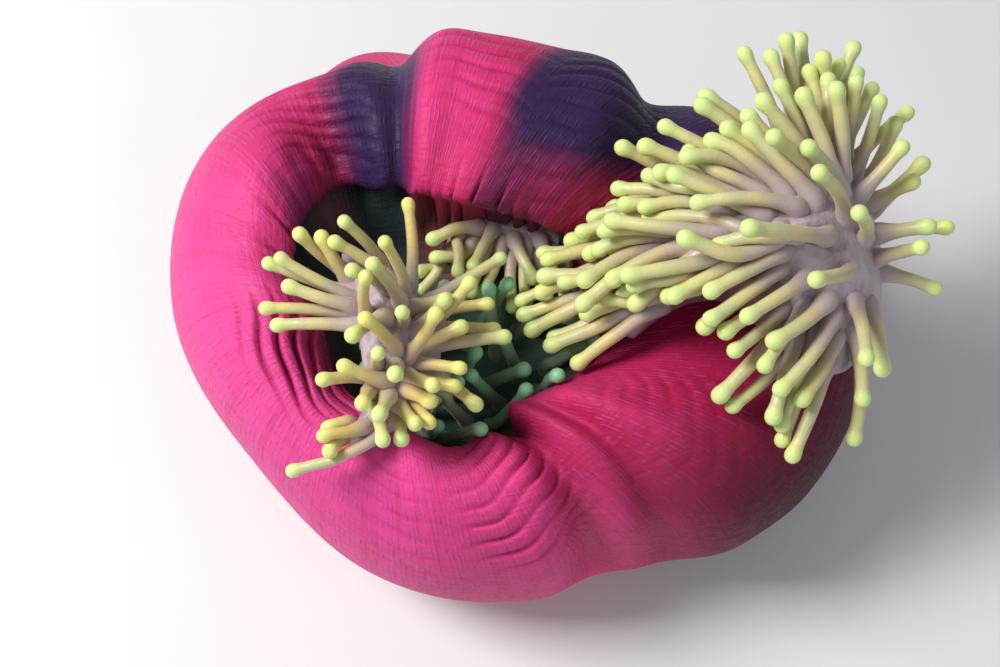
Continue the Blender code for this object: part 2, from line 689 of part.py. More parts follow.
def checked(obj, operation, other, least):
    """Applies a Boolean, but goes back if the result isn't closed or has less than the least volume."""
    before = obj.data.copy()
    for use_self in (False, True):
        combined(obj, operation, other, use_self=use_self)
        tidied(obj, 0.01)
        largest_island(obj)
        if volume_of(obj) > least:
            return True
        obj.data = before.copy()
    return False


def copied(obj, name, collection):
    """A second object with the same mesh."""
    made = bpy.data.objects.new(name, obj.data.copy())
    collection.objects.link(made)
    return made


def largest_island(obj):
    """Leaves only the biggest of the separate shells in obj's mesh."""
    work = bmesh.new()
    work.from_mesh(obj.data)
    islands, seen = [], set()
    for vertex in work.verts:
        if vertex in seen:
            continue
        island, todo = [], [vertex]
        seen.add(vertex)
        while todo:
            here = todo.pop()
            island.append(here)
            for edge in here.link_edges:
                other = edge.other_vert(here)
                if other not in seen:
                    seen.add(other)
                    todo.append(other)
        islands.append(island)
    islands.sort(key=len)
    for island in islands[:-1]:
        bmesh.ops.delete(work, geom=island, context="VERTS")
    work.to_mesh(obj.data)
    work.free()


def box_cutter(name, low, high, collection, turn=0.0, centre=(0.0, 0.0)):
    """A box between two corners, turned about a vertical line through centre."""
    work = bmesh.new()
    bmesh.ops.create_cube(work, size=1)
    low, high = np.array(low), np.array(high)
    for vertex in work.verts:
        vertex.co = ((np.array(vertex.co) + 0.5) * (high - low) + low) * MM
    bmesh.ops.rotate(work, verts=work.verts, matrix=Matrix.Rotation(turn, 3, "Z"))
    bmesh.ops.translate(work, verts=work.verts, vec=(centre[0] * MM, centre[1] * MM, 0))
    mesh = bpy.data.meshes.new(name)
    work.to_mesh(mesh)
    work.free()
    made = bpy.data.objects.new(name, mesh)
    collection.objects.link(made)
    return made


def disc_cutter(name, radius, low, high, collection):
    """A round cutter on the opening's axis, from a low to a high level."""
    work = bmesh.new()
    bmesh.ops.create_cone(
        work,
        cap_ends=True,
        segments=20,
        radius1=radius * MM,
        radius2=radius * MM,
        depth=(high - low) * MM,
        matrix=Matrix.Translation((*(OPENING_CENTRE * MM), (low + high) / 2 * MM)),
    )
    mesh = bpy.data.meshes.new(name)
    work.to_mesh(mesh)
    work.free()
    made = bpy.data.objects.new(name, mesh)
    collection.objects.link(made)
    return made


def material(name, colour, roughness):
    made = bpy.data.materials.new(name)
    made.use_nodes = True
    shader = made.node_tree.nodes["Principled BSDF"]
    shader.inputs["Base Color"].default_value = (*colour, 1)
    shader.inputs["Roughness"].default_value = roughness
    shader.inputs["Metallic"].default_value = 0.0
    return made


def column_pieces(parts, cutters):
    """The pedal disc, four lengths of column, four of rim and the oral disc, parted by thin cuts."""
    whole = column_mesh("whole_column", cutters)
    quarters = (("right", -45), ("back", 45), ("left", 135), ("front", 225))
    levels = (
        ("column", FOOT_HEIGHT + GAP, RIM_BASE_HEIGHT - GAP),
        ("rim", RIM_BASE_HEIGHT, REACH),
    )
    for level, low, high in levels:
        for side, angle in quarters:
            name = f"{level}_{side}"
            piece = copied(whole, name, parts)
            corner = (GAP / 2, GAP / 2, low)
            wedge = box_cutter(
                f"cut_{name}", corner, (REACH, REACH, high), cutters, math.radians(angle), OPENING_CENTRE
            )
            combined(piece, "INTERSECT", wedge)
            if level == "rim":
                hole = disc_cutter(f"hole_{name}", DISC_RADIUS + GAP, 0, REACH, cutters)
                combined(piece, "DIFFERENCE", hole)
            largest_island(piece)
    foot = copied(whole, "pedal_disc", parts)
    slice_of_foot = box_cutter("cut_foot", (-REACH, -REACH, -1), (REACH, REACH, FOOT_HEIGHT), cutters)
    combined(foot, "INTERSECT", slice_of_foot)
    disc = copied(whole, "oral_disc", parts)
    plug = disc_cutter("cut_disc", DISC_RADIUS, RIM_BASE_HEIGHT, REACH, cutters)
    combined(disc, "INTERSECT", plug)
    largest_island(disc)


def join_tentacles(tentacles, parts, cutters):
    """Joins each tentacle to the node it grows from, but leaves out one that touches something else."""
    nodes = {obj.name: tree_of(obj) for obj in parts.objects}
    placed = []
    for tentacle in reversed(tentacles):
        owner = bpy.data.objects[tentacle.owner]
        tube = tentacle_tube(f"tube_{owner.name}", tentacle.path, cutters)
        tree = tree_of(tube)
        solid = [n for n in nodes if n != owner.name and (n.startswith("fold") or owner.name == "oral_disc")]
        clear = not any(tree.overlap(other) for other in placed + [nodes[n] for n in solid])
        if clear and checked(owner, "UNION", tube, volume_of(owner) + 0.3 * volume_of(tube)):
            placed.append(tree)


def main():
    for obj in list(bpy.data.objects):
        bpy.data.objects.remove(obj)
    scene = bpy.context.scene
    parts = bpy.data.collections.new("sea_anemone")
    cutters = bpy.data.collections.new("cutters")
    scene.collection.children.link(parts)
    scene.collection.children.link(cutters)

    column_pieces(parts, cutters)
    folds = [fold_mesh(fold, fold.name, parts) for fold in DISC_FOLDS]
    grown_column = grown(bpy.data.objects["whole_column"], 1.3 * GAP, cutters)
    obstacles = [tree_of(grown_column)]
    obstacles += [tree_of(fold) for fold in folds]
    tentacles = [t for t in all_tentacles() if rooted_in_the_open(t, obstacles[0])]
    kept_apart(tentacles, obstacles)
    for fold in folds:
        checked(fold, "DIFFERENCE", grown_column, 0.5 * volume_of(fold))
    join_tentacles(tentacles, parts, cutters)
    for fold in folds:
        checked(fold, "DIFFERENCE", grown_column, 0.75 * volume_of(fold))

    looks = {
        "column": material("column_skin", SKIN_MAGENTA, 0.5),
        "disc": material("disc_skin", DISC_LILAC, 0.5),
        "tentacle": material("tentacle_skin", TENTACLE_GREEN, 0.4),
    }
    for obj in parts.objects:
        kind = "tentacle" if obj.name.startswith("fold") else "column"
        kind = "disc" if obj.name == "oral_disc" else kind
        obj.data.materials.clear()
        obj.data.materials.append(looks[kind])
    for obj in cutters.objects:
        obj.hide_render = True
        obj.display_type = "WIRE"


main()
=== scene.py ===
"""Look of the half-closed magnificent sea anemone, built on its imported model.

One smooth skin replaces the column, the rim and the oral disc. Three soft folds of the disc lie
over the rim, and finger tentacles grow from them and from the disc along relaxed paths. Lengths are
in millimetres until a mesh is made, which is in metres. The origin is the pedal disc's centre, and
+Z is up.
"""

import logging
import math
from dataclasses import dataclass, field
from enum import Enum

import bmesh
import bpy
import numpy as np
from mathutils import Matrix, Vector
from mathutils.bvhtree import BVHTree

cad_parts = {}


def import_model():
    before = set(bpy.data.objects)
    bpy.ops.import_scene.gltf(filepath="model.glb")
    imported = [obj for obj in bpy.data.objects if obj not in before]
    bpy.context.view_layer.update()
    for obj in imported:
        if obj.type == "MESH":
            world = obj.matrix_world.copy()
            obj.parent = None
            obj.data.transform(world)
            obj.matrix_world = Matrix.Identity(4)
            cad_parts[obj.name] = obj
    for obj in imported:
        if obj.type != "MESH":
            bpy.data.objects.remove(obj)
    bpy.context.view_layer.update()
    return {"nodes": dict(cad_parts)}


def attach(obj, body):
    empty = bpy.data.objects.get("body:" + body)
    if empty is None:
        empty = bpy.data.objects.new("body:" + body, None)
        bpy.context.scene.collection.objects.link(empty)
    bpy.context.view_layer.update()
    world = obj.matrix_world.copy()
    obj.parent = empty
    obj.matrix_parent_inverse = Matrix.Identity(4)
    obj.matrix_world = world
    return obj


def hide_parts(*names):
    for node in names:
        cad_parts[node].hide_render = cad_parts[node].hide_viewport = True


LOG = logging.getLogger("sea_anemone")
MM = 0.001
Array = np.ndarray
Triple = tuple[float, float, float]
Faces = list[tuple[int, ...]]
Mesh = bpy.types.Mesh
Object = bpy.types.Object
Socket = bpy.types.NodeSocket
Material = bpy.types.Material


class Slot(Enum):
    """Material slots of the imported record."""

    COLUMN = "column_skin"
    DISC = "disc_skin"
    TENTACLE = "tentacle_skin"


class Combing(Enum):
    """How the tentacles stand on a fold of the oral disc."""

    OVER = "all over, each lying as its neighbours do"
    TUFTS = "tufts that each point one way"


# --- curves -------------------------------------------------------------------------------------


def catmull_rom(a: Array, b: Array, c: Array, d: Array, f: Array) -> Array:
    """The smooth curve through a, b, c and d, read at the share f of the way from b to c."""
    return b + 0.5 * f * (c - a + f * (2 * a - 5 * b + 4 * c - d + f * (3 * (b - c) + d - a)))


def round_the_body(values: tuple[float, ...], theta: Array) -> Array:
    """Reads a smooth closed curve through values that stand evenly round the body.

    Args:
        values: one value for each equal step of angle, from +X towards +Y.
        theta: angles in radians.

    Returns:
        The value at each angle.
    """
    known = np.asarray(values, float)
    place = np.asarray(theta) / (2 * math.pi) % 1.0 * len(known)
    i = np.floor(place).astype(int)
    a, b, c, d = (known[(i + k) % len(known)] for k in (-1, 0, 1, 2))
    return catmull_rom(a, b, c, d, place - i)


def along(values: Array, share: Array | float) -> Array:
    """Reads a smooth open curve at a share of its length.

    Args:
        values: the points or numbers that the curve passes through.
        share: where to read it, from 0 to 1.

    Returns:
        The point or number there.
    """
    known = np.asarray(values, float)
    last = len(known) - 1
    place = np.clip(share, 0, 1) * last
    i = np.clip(np.floor(place).astype(int), 0, last - 1)
    f = place - i
    before, after = 2 * known[0] - known[1], 2 * known[-1] - known[-2]
    padded = np.concatenate([before[None], known, after[None]])
    a, b, c, d = (padded[i + k] for k in range(4))
    return catmull_rom(a, b, c, d, np.reshape(f, np.shape(f) + (1,) * (known.ndim - 1)))


def smooth_step(low: float, high: float, x: Array) -> Array:
    """0 below low, 1 above high and smooth in between."""
    f = np.clip((x - low) / (high - low), 0, 1)
    return f * f * (3 - 2 * f)


def turned(a: Array, b: Array) -> Array:
    """Angle from b to a in degrees, between -180 and 180."""
    return (a - b + 180) % 360 - 180


def bell(off: Array, reach: float, power: int = 2) -> Array:
    """1 in the middle and nothing well beyond the reach, with a flatter top at a higher power."""
    return np.exp(-((off / reach) ** power))


def unit(v: Array) -> Array:
    """The vectors at length 1."""
    return v / np.maximum(np.linalg.norm(v, axis=-1, keepdims=True), 1e-9)


def round_way(theta: Array) -> Array:
    """The level unit vectors that point out at angles."""
    return np.stack([np.cos(theta), np.sin(theta)], -1)


def grid_faces(columns: int, rows: int, closed_round: bool) -> Faces:
    """Quads between neighbouring points of a grid stored column by column.

    Args:
        columns: number of columns.
        rows: points in each column.
        closed_round: whether the last column joins the first.

    Returns:
        The corner numbers of each quad.
    """
    starts = [(i * rows, (i + 1) % columns * rows) for i in range(columns)]
    return [
        (this + j, after + j, after + j + 1, this + j + 1)
        for this, after in (starts if closed_round else starts[:-1])
        for j in range(rows - 1)
    ]


def outward(points: Array, faces: Faces) -> bmesh.types.BMesh:
    """A closed bmesh with its faces outwards, in the units of the points.

    Args:
        points: corners.
        faces: corner numbers of each face.

    Returns:
        The bmesh, to be freed by the caller.
    """
    mesh = bpy.data.meshes.new("loose")
    mesh.from_pydata(np.asarray(points).tolist(), [], faces)
    work = bmesh.new()
    work.from_mesh(mesh)
    bpy.data.meshes.remove(mesh)
    bmesh.ops.recalc_face_normals(work, faces=work.faces)
    if work.calc_volume(signed=True) < 0:
        bmesh.ops.reverse_faces(work, faces=work.faces)
    return work


def new_object(name: str, data: bpy.types.ID) -> Object:
    """Makes an object.

    Args:
        name: its name.
        data: its mesh, light or camera data.

    Returns:
        The object, linked to the scene.
    """
    made = bpy.data.objects.new(name, data)
    bpy.context.scene.collection.objects.link(made)
    return made


def smooth_object(name: str, points: Array, faces: Faces) -> Object:
    """Makes a smooth-shaded object with its faces outwards.

    Args:
        name: the object's name.
        points: corners in millimetres.
        faces: corner numbers of each face.

    Returns:
        The object, linked to the scene.
    """
    mesh = bpy.data.meshes.new(name)
    work = outward(np.asarray(points) * MM, faces)
    for face in work.faces:
        face.smooth = True
    work.to_mesh(mesh)
    work.free()
    return new_object(name, mesh)


def numbers_of(items: bpy.types.bpy_prop_collection, key: str) -> Array:
    """Reads one whole number from each item.

    Args:
        items: corners or faces of a mesh.
        key: the property's name.

    Returns:
        The numbers.
    """
    values = np.empty(len(items), np.int32)
    items.foreach_get(key, values)
    return values


def mark(mesh: Mesh, name: str, values: Array) -> None:
    """Stores one number or vector for each point of a mesh.

    Args:
        mesh: the mesh.
        name: the attribute's name.
        values: one row for each point.
    """
    kind, key = ("FLOAT", "value") if values.ndim == 1 else ("FLOAT_VECTOR", "vector")
    attribute = mesh.attributes.new(name, kind, "POINT")
    attribute.data.foreach_set(key, np.ascontiguousarray(values, np.float32).ravel())


def tree_of(points: Array, faces: Faces) -> BVHTree:
    """A search tree of a closed skin, in millimetres.

    Args:
        points: corners.
        faces: corner numbers of each face.

    Returns:
        The tree.
    """
    work = outward(points, faces)
    tree = BVHTree.FromBMesh(work)
    work.free()
    return tree


# --- shader building ----------------------------------------------------------------------------


def new_tree(kind: str, name: str, sockets: tuple[tuple[str, str, str], ...]) -> bpy.types.NodeTree:
    """Starts a node group.

    Args:
        kind: the tree's type name.
        name: its name.
        sockets: the way, the type and the name of each of its outer sockets.

    Returns:
        The empty group.
    """
    tree = bpy.data.node_groups.new(name, kind)
    for way, socket_type, label in sockets:
        tree.interface.new_socket(label, in_out=way, socket_type="NodeSocket" + socket_type)
    return tree


@dataclass
class Recipe:
    """Adds and wires the nodes of one tree."""

    tree: bpy.types.NodeTree

    def add(
        self, kind: str, sockets: dict[int | str, object] | None = None, **settings: object
    ) -> bpy.types.Node:
        """Adds a node.

        Args:
            kind: the node's type name.
            sockets: what its inputs are set to or linked from.
            settings: properties to set on it.

        Returns:
            The node.
        """
        node = self.tree.nodes.new(kind)
        for key, value in settings.items():
            setattr(node, key, value)
        for socket, value in (sockets or {}).items():
            self.put(node, socket, value)
        return node

    def put(self, node: bpy.types.Node, socket: int | str, value: object) -> None:
        """Sets an input, or links it.

        Args:
            node: the node.
            socket: number or name of its input.
            value: what to set it to, or the output socket to link it from.
        """
        if isinstance(value, Socket):
            self.tree.links.new(value, node.inputs[socket])
        else:
            node.inputs[socket].default_value = value

    def math(self, operation: str, *values: object) -> Socket:
        """The result of a Math node on numbers or sockets, in the node's order."""
        return self.add("ShaderNodeMath", dict(enumerate(values)), operation=operation).outputs[0]

    def ramp(self, value: Socket, low: float, high: float) -> Socket:
        """A value turned into a mask: 0 below low, 1 above high, smooth in between."""
        sockets = {"Value": value, "From Min": low, "From Max": high}
        return self.add("ShaderNodeMapRange", sockets, interpolation_type="SMOOTHSTEP").outputs[0]

    def mix(self, share: object, a: Socket | Triple, b: Socket | Triple) -> Socket:
        """Two colours mixed, with a share of b."""
        sides = {k: v if isinstance(v, Socket) else (*v, 1) for k, v in ((6, a), (7, b))}
        return self.add("ShaderNodeMix", {0: share, **sides}, data_type="RGBA").outputs[2]

    def attribute(self, name: str, output: str = "Fac") -> Socket:
        """One of the mesh's own attributes."""
        return self.add("ShaderNodeAttribute", attribute_name=name).outputs[output]

    def noise(self, vector: Socket, scale: float, detail: float = 2.0) -> Socket:
        """Noise between 0 and 1 at a scale."""
        sockets = {"Vector": vector, "Scale": scale, "Detail": detail}
        return self.add("ShaderNodeTexNoise", sockets).outputs[0]

    def stretched(self, vector: Socket, factors: Triple, detail: float = 2.0) -> Socket:
        """Noise with a scale of its own along each axis."""
        scaled = self.add("ShaderNodeVectorMath", {0: vector, 1: factors}, operation="MULTIPLY")
        return self.noise(scaled.outputs[0], 1.0, detail)


@dataclass(frozen=True)
class WetSkin:
    """Shared effect: the fine pebbled relief and uneven gloss of wet living skin."""

    name: str = "wet_skin"

    def group(self) -> bpy.types.NodeTree:
        """The shader group, built once: relief height and a gloss mask from a scale."""
        known = bpy.data.node_groups.get(self.name)
        if known:
            return known
        ways = (("INPUT", "Vector", "Vector"), ("INPUT", "Float", "Scale"))
        ways += (("OUTPUT", "Float", "Relief"), ("OUTPUT", "Float", "Gloss"))
        tree = new_tree("ShaderNodeTree", self.name, ways)
        r = Recipe(tree)
        given = r.add("NodeGroupInput").outputs
        at = {name: given[name] for name in ("Vector", "Scale")}
        fine = r.add("ShaderNodeTexNoise", {**at, "Detail": 3.0}).outputs[0]
        cells = r.add("ShaderNodeTexVoronoi", at, feature="F1").outputs["Distance"]
        relief = r.math("MULTIPLY_ADD", fine, 0.6, r.math("MULTIPLY", cells, 0.4))
        r.add("NodeGroupOutput", {"Relief": relief, "Gloss": r.ramp(fine, 0.35, 0.7)})
        return tree

    def coat(
        self,
        r: Recipe,
        shader: bpy.types.Node,
        place: Socket,
        scale: float,
        roughness: tuple[float, float],
        bump: tuple[float, float],
        heights: tuple[tuple[Socket | None, float], ...] = ((None, 1.0),),
    ) -> None:
        """Gives a shader its uneven gloss and its relief.

        Args:
            r: the material's recipe.
            shader: its shader node.
            place: coordinates to read.
            scale: cells in each metre.
            roughness: how much the gloss mask adds, and the least roughness.
            bump: strength and distance of the bump.
            heights: what the relief adds up, each with its weight, where None is the wet relief.
        """
        sockets = {"Vector": place, "Scale": scale}
        wet = r.add("ShaderNodeGroup", sockets, node_tree=self.group())
        r.put(shader, "Roughness", r.math("MULTIPLY_ADD", wet.outputs["Gloss"], *roughness))
        height = 0.0
        for value, weight in heights:
            source = wet.outputs["Relief"] if value is None else value
            height = r.math("MULTIPLY_ADD", source, weight, height)
        sockets = {"Strength": bump[0], "Distance": bump[1], "Height": height}
        r.put(shader, "Normal", r.add("ShaderNodeBump", sockets).outputs[0])


def new_material(name: str) -> tuple[Material, Recipe, bpy.types.Node, Socket]:
    """Starts a material.

    Args:
        name: its name.

    Returns:
        The material, its recipe, its Principled BSDF and the object coordinates.
    """
    made = bpy.data.materials.new(name)
    made.use_nodes = True
    recipe = Recipe(made.node_tree)
    place = recipe.add("ShaderNodeTexCoord").outputs["Object"]
    return made, recipe, made.node_tree.nodes["Principled BSDF"], place


@dataclass(frozen=True)
class ColumnFinish:
    """Crimson skin with rows of lilac warts and fine growth lines, painted light on its left flank,
    and painted shade in its folds, low on its right flank, in violet bands and down in the hole.
    """

    crimson: Triple = (0.47, 0.013, 0.078)
    rose: Triple = (0.72, 0.040, 0.20)
    # painted light: the brighter pink of the lit left flank
    painted_light_pink: Triple = (0.88, 0.095, 0.40)
    # painted shade of the lower right flank
    painted_shade_maroon: Triple = (0.045, 0.002, 0.009)
    # colour of the growth lines, and painted shade in creases
    growth_line_and_crease_shade_red: Triple = (0.22, 0.003, 0.022)
    wart_lilac: Triple = (0.52, 0.10, 0.44)
    # painted shadow: the dark violet of the shadow bands
    painted_shadow_violet: Triple = (0.014, 0.015, 0.066)
    low_orange: Triple = (0.70, 0.10, 0.085)
    # painted shade: the dark green-grey inside the hole
    painted_hole_shade: Triple = (0.045, 0.09, 0.075)
    rows: int = 300

    def build(self) -> Material:
        """Makes the material."""
        made, r, shader, place = new_material("column_wet_crimson")
        ring = r.attribute("ring", "Vector")
        across = r.add("ShaderNodeUVMap", uv_map="skin").outputs[0]
        turns = r.add("ShaderNodeSeparateXYZ", {0: across}).outputs[0]
        turn = r.math("MULTIPLY", turns, 2 * math.pi * self.rows)
        turn = r.math("MULTIPLY_ADD", r.stretched(ring, (5.0, 5.0, 14.0)), 9.0, turn)
        lines = r.math("MULTIPLY_ADD", r.math("SINE", turn), 0.5, 0.5)
        dashes = r.ramp(r.stretched(ring, (48.0, 48.0, 62.0), 1.0), 0.50, 0.62)
        warts = r.math("MULTIPLY", r.ramp(lines, 0.35, 0.8), dashes)
        growth = r.stretched(ring, (7.0, 7.0, 150.0), 3.0)
        patches = r.noise(place, 14.0, 3.0)
        streaks = r.stretched(ring, (40.0, 40.0, 5.0))

        skin = self.crimson
        for share, tint in (
            (r.ramp(patches, 0.34, 0.66), self.rose),
            # painted light on the left flank
            (r.attribute("painted_light"), self.painted_light_pink),
            (r.math("MULTIPLY", r.ramp(streaks, 0.45, 0.7), 0.24), self.crimson),
            (r.math("MULTIPLY", r.ramp(growth, 0.52, 0.70), 0.12), self.growth_line_and_crease_shade_red),
            (r.math("MULTIPLY", warts, 0.26), self.wart_lilac),
            (r.attribute("low"), self.low_orange),
            # painted shade on the lower right flank
            (r.attribute("painted_shade_maroon"), self.painted_shade_maroon),
            # painted shade in the creases and the wrinkle valleys
            (r.attribute("crease"), self.growth_line_and_crease_shade_red),
            # painted shadow bands in violet
            (self.painted_shadow_mask(r, streaks), self.painted_shadow_violet),
            # painted shade down the inner wall and on the floor of the hole
            (r.attribute("disc"), self.painted_hole_shade),
        ):
            skin = r.mix(share, skin, tint)
        r.put(shader, "Base Color", skin)
        heights = ((lines, 0.05), (growth, 0.9), (None, 0.35), (warts, 0.35))
        WetSkin().coat(r, shader, place, 420.0, (0.14, 0.46), (0.55, 0.0011), heights)
        shader.inputs["Specular IOR Level"].default_value = 0.18
        return made

    def painted_shadow_mask(self, r: Recipe, streaks: Socket) -> Socket:
        """The painted violet shadow bands, their edges broken up by the streaks."""
        uneven = r.math("MULTIPLY_ADD", streaks, 0.30, r.attribute("painted_shadow"))
        return r.math("MULTIPLY", r.ramp(uneven, 0.35, 1.0), 0.96)


@dataclass(frozen=True)
class DiscFinish:
    """Greyish lilac skin of the oral disc, in paler patches."""

    lilac: Triple = (0.36, 0.28, 0.33)
    pale: Triple = (0.52, 0.44, 0.48)
    # colour of the dark specks, and painted shade under the folds
    speck_and_under_fold_shade: Triple = (0.17, 0.12, 0.16)

    def build(self) -> Material:
        """Makes the material."""
        made, r, shader, place = new_material("disc_wet_lilac")
        patches = r.noise(place, 55.0, 3.0)
        skin = r.mix(r.ramp(patches, 0.35, 0.65), self.lilac, self.pale)
        specks = r.ramp(r.noise(place, 140.0), 0.52, 0.7)
        skin = r.mix(r.math("MULTIPLY", specks, 0.4), skin, self.speck_and_under_fold_shade)
        # painted shade on the underside of the folds
        r.put(shader, "Base Color", r.mix(r.attribute("painted_underside"), skin, self.speck_and_under_fold_shade))
        heights = ((None, 1.0), (patches, 1.5))
        WetSkin().coat(r, shader, place, 500.0, (0.15, 0.38), (0.6, 0.001), heights)
        return made


@dataclass(frozen=True)
class TentacleFinish:
    """Finger skin: lilac at the root, beige along the stem, yellow-green at the bulb, and painted
    shade green where it stands in the hole.
    """

    root_lilac: Triple = (0.45, 0.35, 0.39)
    # painted shade: stems in the hole's shadow
    stem_shade_green: Triple = (0.15, 0.30, 0.19)
    stem_beige: Triple = (0.66, 0.53, 0.25)
    stem_grey: Triple = (0.51, 0.44, 0.29)
    bulb_lime: Triple = (0.69, 0.83, 0.30)
    stem_gold: Triple = (0.64, 0.44, 0.13)
    bulb_gold: Triple = (0.85, 0.78, 0.22)
    # painted shade: bulbs in the hole's shadow
    bulb_shade_green: Triple = (0.27, 0.60, 0.35)

    def build(self) -> Material:
        """Makes the material."""
        made, r, shader, place = new_material("tentacle_wet_lime")
        share, tone = r.attribute("along"), r.attribute("tone")
        stem = r.mix(r.ramp(r.noise(place, 90.0), 0.35, 0.65), self.stem_beige, self.stem_grey)
        stem = r.mix(r.math("MULTIPLY", r.ramp(tone, 0.6, 1.0), 0.75), stem, self.stem_gold)
        stem = r.mix(r.ramp(share, 0.08, 0.62), self.root_lilac, stem)
        # painted shade: low tints turn the stems dark green
        stem = r.mix(r.ramp(tone, 0.22, 0.0), stem, self.stem_shade_green)
        bulb = r.mix(r.ramp(tone, 0.62, 1.0), self.bulb_lime, self.bulb_gold)
        # painted shade: low tints turn the bulbs shade green
        bulb = r.mix(r.ramp(tone, 0.30, 0.05), bulb, self.bulb_shade_green)
        upper = r.math("MULTIPLY", r.ramp(share, 0.35, 0.95), 0.45)
        upper = r.math("MAXIMUM", upper, r.attribute("bulb"))
        r.put(shader, "Base Color", r.mix(upper, stem, bulb))
        WetSkin().coat(r, shader, place, 650.0, (0.15, 0.36), (0.30, 0.0006))
        shader.inputs["Sheen Weight"].default_value = 0.25
        shader.inputs["Sheen Tint"].default_value = (1.0, 0.95, 0.65, 1)
        return made


@dataclass(frozen=True)
class FloorFinish:
    """Plain pale floor."""

    pale: Triple = (0.78, 0.79, 0.80)
    dull: Triple = (0.70, 0.70, 0.70)

    def build(self) -> Material:
        """Makes the material."""
        made, r, shader, place = new_material("floor_pale")
        share = r.math("MULTIPLY", r.noise(place, 6.0), 0.06)
        r.put(shader, "Base Color", r.mix(share, self.pale, self.dull))
        shader.inputs["Roughness"].default_value = 0.7
        return made


# --- the column ---------------------------------------------------------------------------------


LENGTH_OF_RUN = 380.0  # about how long the skin is from the foot to the mouth


@dataclass(frozen=True)
class Crease:
    """A fold line that runs over the rim, from an angle at the belly to an angle at the lip."""

    belly_angle: float
    lip_angle: float
    depth: float
    half_width: float
    start: float
    end: float
    overlap: float = 0.0

    def depth_at(self, theta: Array, run: Array) -> Array:
        """How far the crease draws the skin in.

        Args:
            theta: angles round the body in radians.
            run: place from the foot, 0, to the mouth, 1.

        Returns:
            Depth in millimetres.
        """
        progress = smooth_step(0.27, 0.64, run)
        angle = self.belly_angle + turned(self.lip_angle, self.belly_angle) * progress
        off = turned(np.degrees(theta), angle) / self.half_width
        window = smooth_step(self.start, self.start + 0.12, run)
        window = window * (1 - smooth_step(self.end - 0.10, self.end, run))
        valley = self.depth * (bell(off, 1) - 0.25 * bell(abs(off) - 2, 1))
        step = self.overlap * (1 / (1 + np.exp(-4 * off)) - 0.5) * bell(off, 4)
        return window * (valley - 2 * step)


@dataclass(frozen=True)
class Wrinkles:
    """A patch of short parallel wrinkles in the skin."""

    angle: float
    half_width: float
    start: float
    end: float
    spacing: float
    depth: float
    slant: float = 0.0
    radial: bool = False

    def depth_at(self, theta: Array, run: Array) -> Array:
        """How far the wrinkles draw the skin in, with narrow valleys and round ridges.

        Args:
            theta: angles round the body in radians.
            run: place from the foot, 0, to the mouth, 1.

        Returns:
            Depth in millimetres.
        """
        off = turned(np.degrees(theta), self.angle)
        middle = (self.start + self.end) / 2
        reach = (self.end - self.start) / 2
        window = bell(off, self.half_width, 4) * bell(run - middle, reach, 4)
        if self.radial:
            phase = off / self.spacing + 0.25 * np.sin(0.6 * off) + self.slant * (run - middle)
        else:
            phase = (run - middle) * LENGTH_OF_RUN / self.spacing + self.slant * off
            phase = phase + 0.30 * np.sin(0.16 * off + 1) + 0.16 * np.sin(0.31 * off + 9 * run)
        valley = (0.5 + 0.5 * np.cos(2 * math.pi * phase)) ** 4
        uneven = 0.6 + 0.4 * np.sin(0.13 * off + 16 * run + self.angle)
        return self.depth * window * (valley - 0.25) * uneven


CREASES = (
    Crease(134, 131, 15.0, 9.0, 0.44, 0.80),
    Crease(113, 111, 7.0, 5.0, 0.26, 0.80, overlap=-3.0),
    Crease(62, 30, 9.0, 7.0, 0.24, 0.80),
    Crease(288, 299, 9.0, 6.0, 0.17, 0.80, overlap=3.0),
    Crease(76, 76, -7.0, 27.0, 0.54, 0.77),
    Crease(302, 316, 6.0, 5.0, 0.20, 0.66, overlap=5.0),
    Crease(215, 212, 9.0, 20.0, 0.46, 0.80),
    Crease(4, 2, 10.0, 26.0, 0.42, 0.80),
    Crease(176, 170, 4.0, 7.0, 0.40, 0.75),
    Crease(118, 118, -34.0, 17.0, 0.10, 0.34),
)

WRINKLES = (
    Wrinkles(208, 20, 0.46, 0.61, 12.5, 5.0, slant=0.055),
    Wrinkles(280, 14, 0.38, 0.60, 11.5, 4.2, slant=-0.13),
    Wrinkles(324, 15, 0.41, 0.58, 8.0, 1.3, slant=-0.16),
    Wrinkles(74, 30, 0.63, 0.80, 13.0, 10.0, radial=True),
    Wrinkles(146, 22, 0.55, 0.70, 9.0, 4.5, slant=6.0, radial=True),
    Wrinkles(285, 18, 0.60, 0.72, 8.0, 4.0, radial=True),
    Wrinkles(88, 20, 0.36, 0.56, 11.0, 1.6, slant=0.01),
    Wrinkles(56, 15, 0.40, 0.62, 11.0, 1.8, slant=-0.05),
    Wrinkles(132, 12, 0.40, 0.60, 10.0, 3.0, slant=0.08),
    Wrinkles(238, 18, 0.30, 0.52, 12.0, 0.9, slant=0.02),
)

PAINTED_SHADOWS = (  # painted shadow bands: angle, width in degrees, run where it starts, strength, how much it fades over the lip
    (68, 14, 0.13, 1.0, 0.45),
    (46, 15, 0.17, 1.0, 0.55),
    (118, 13, 0.22, 1.15, 0.10),
    (148, 13, 0.44, 0.80, 0.0),
)


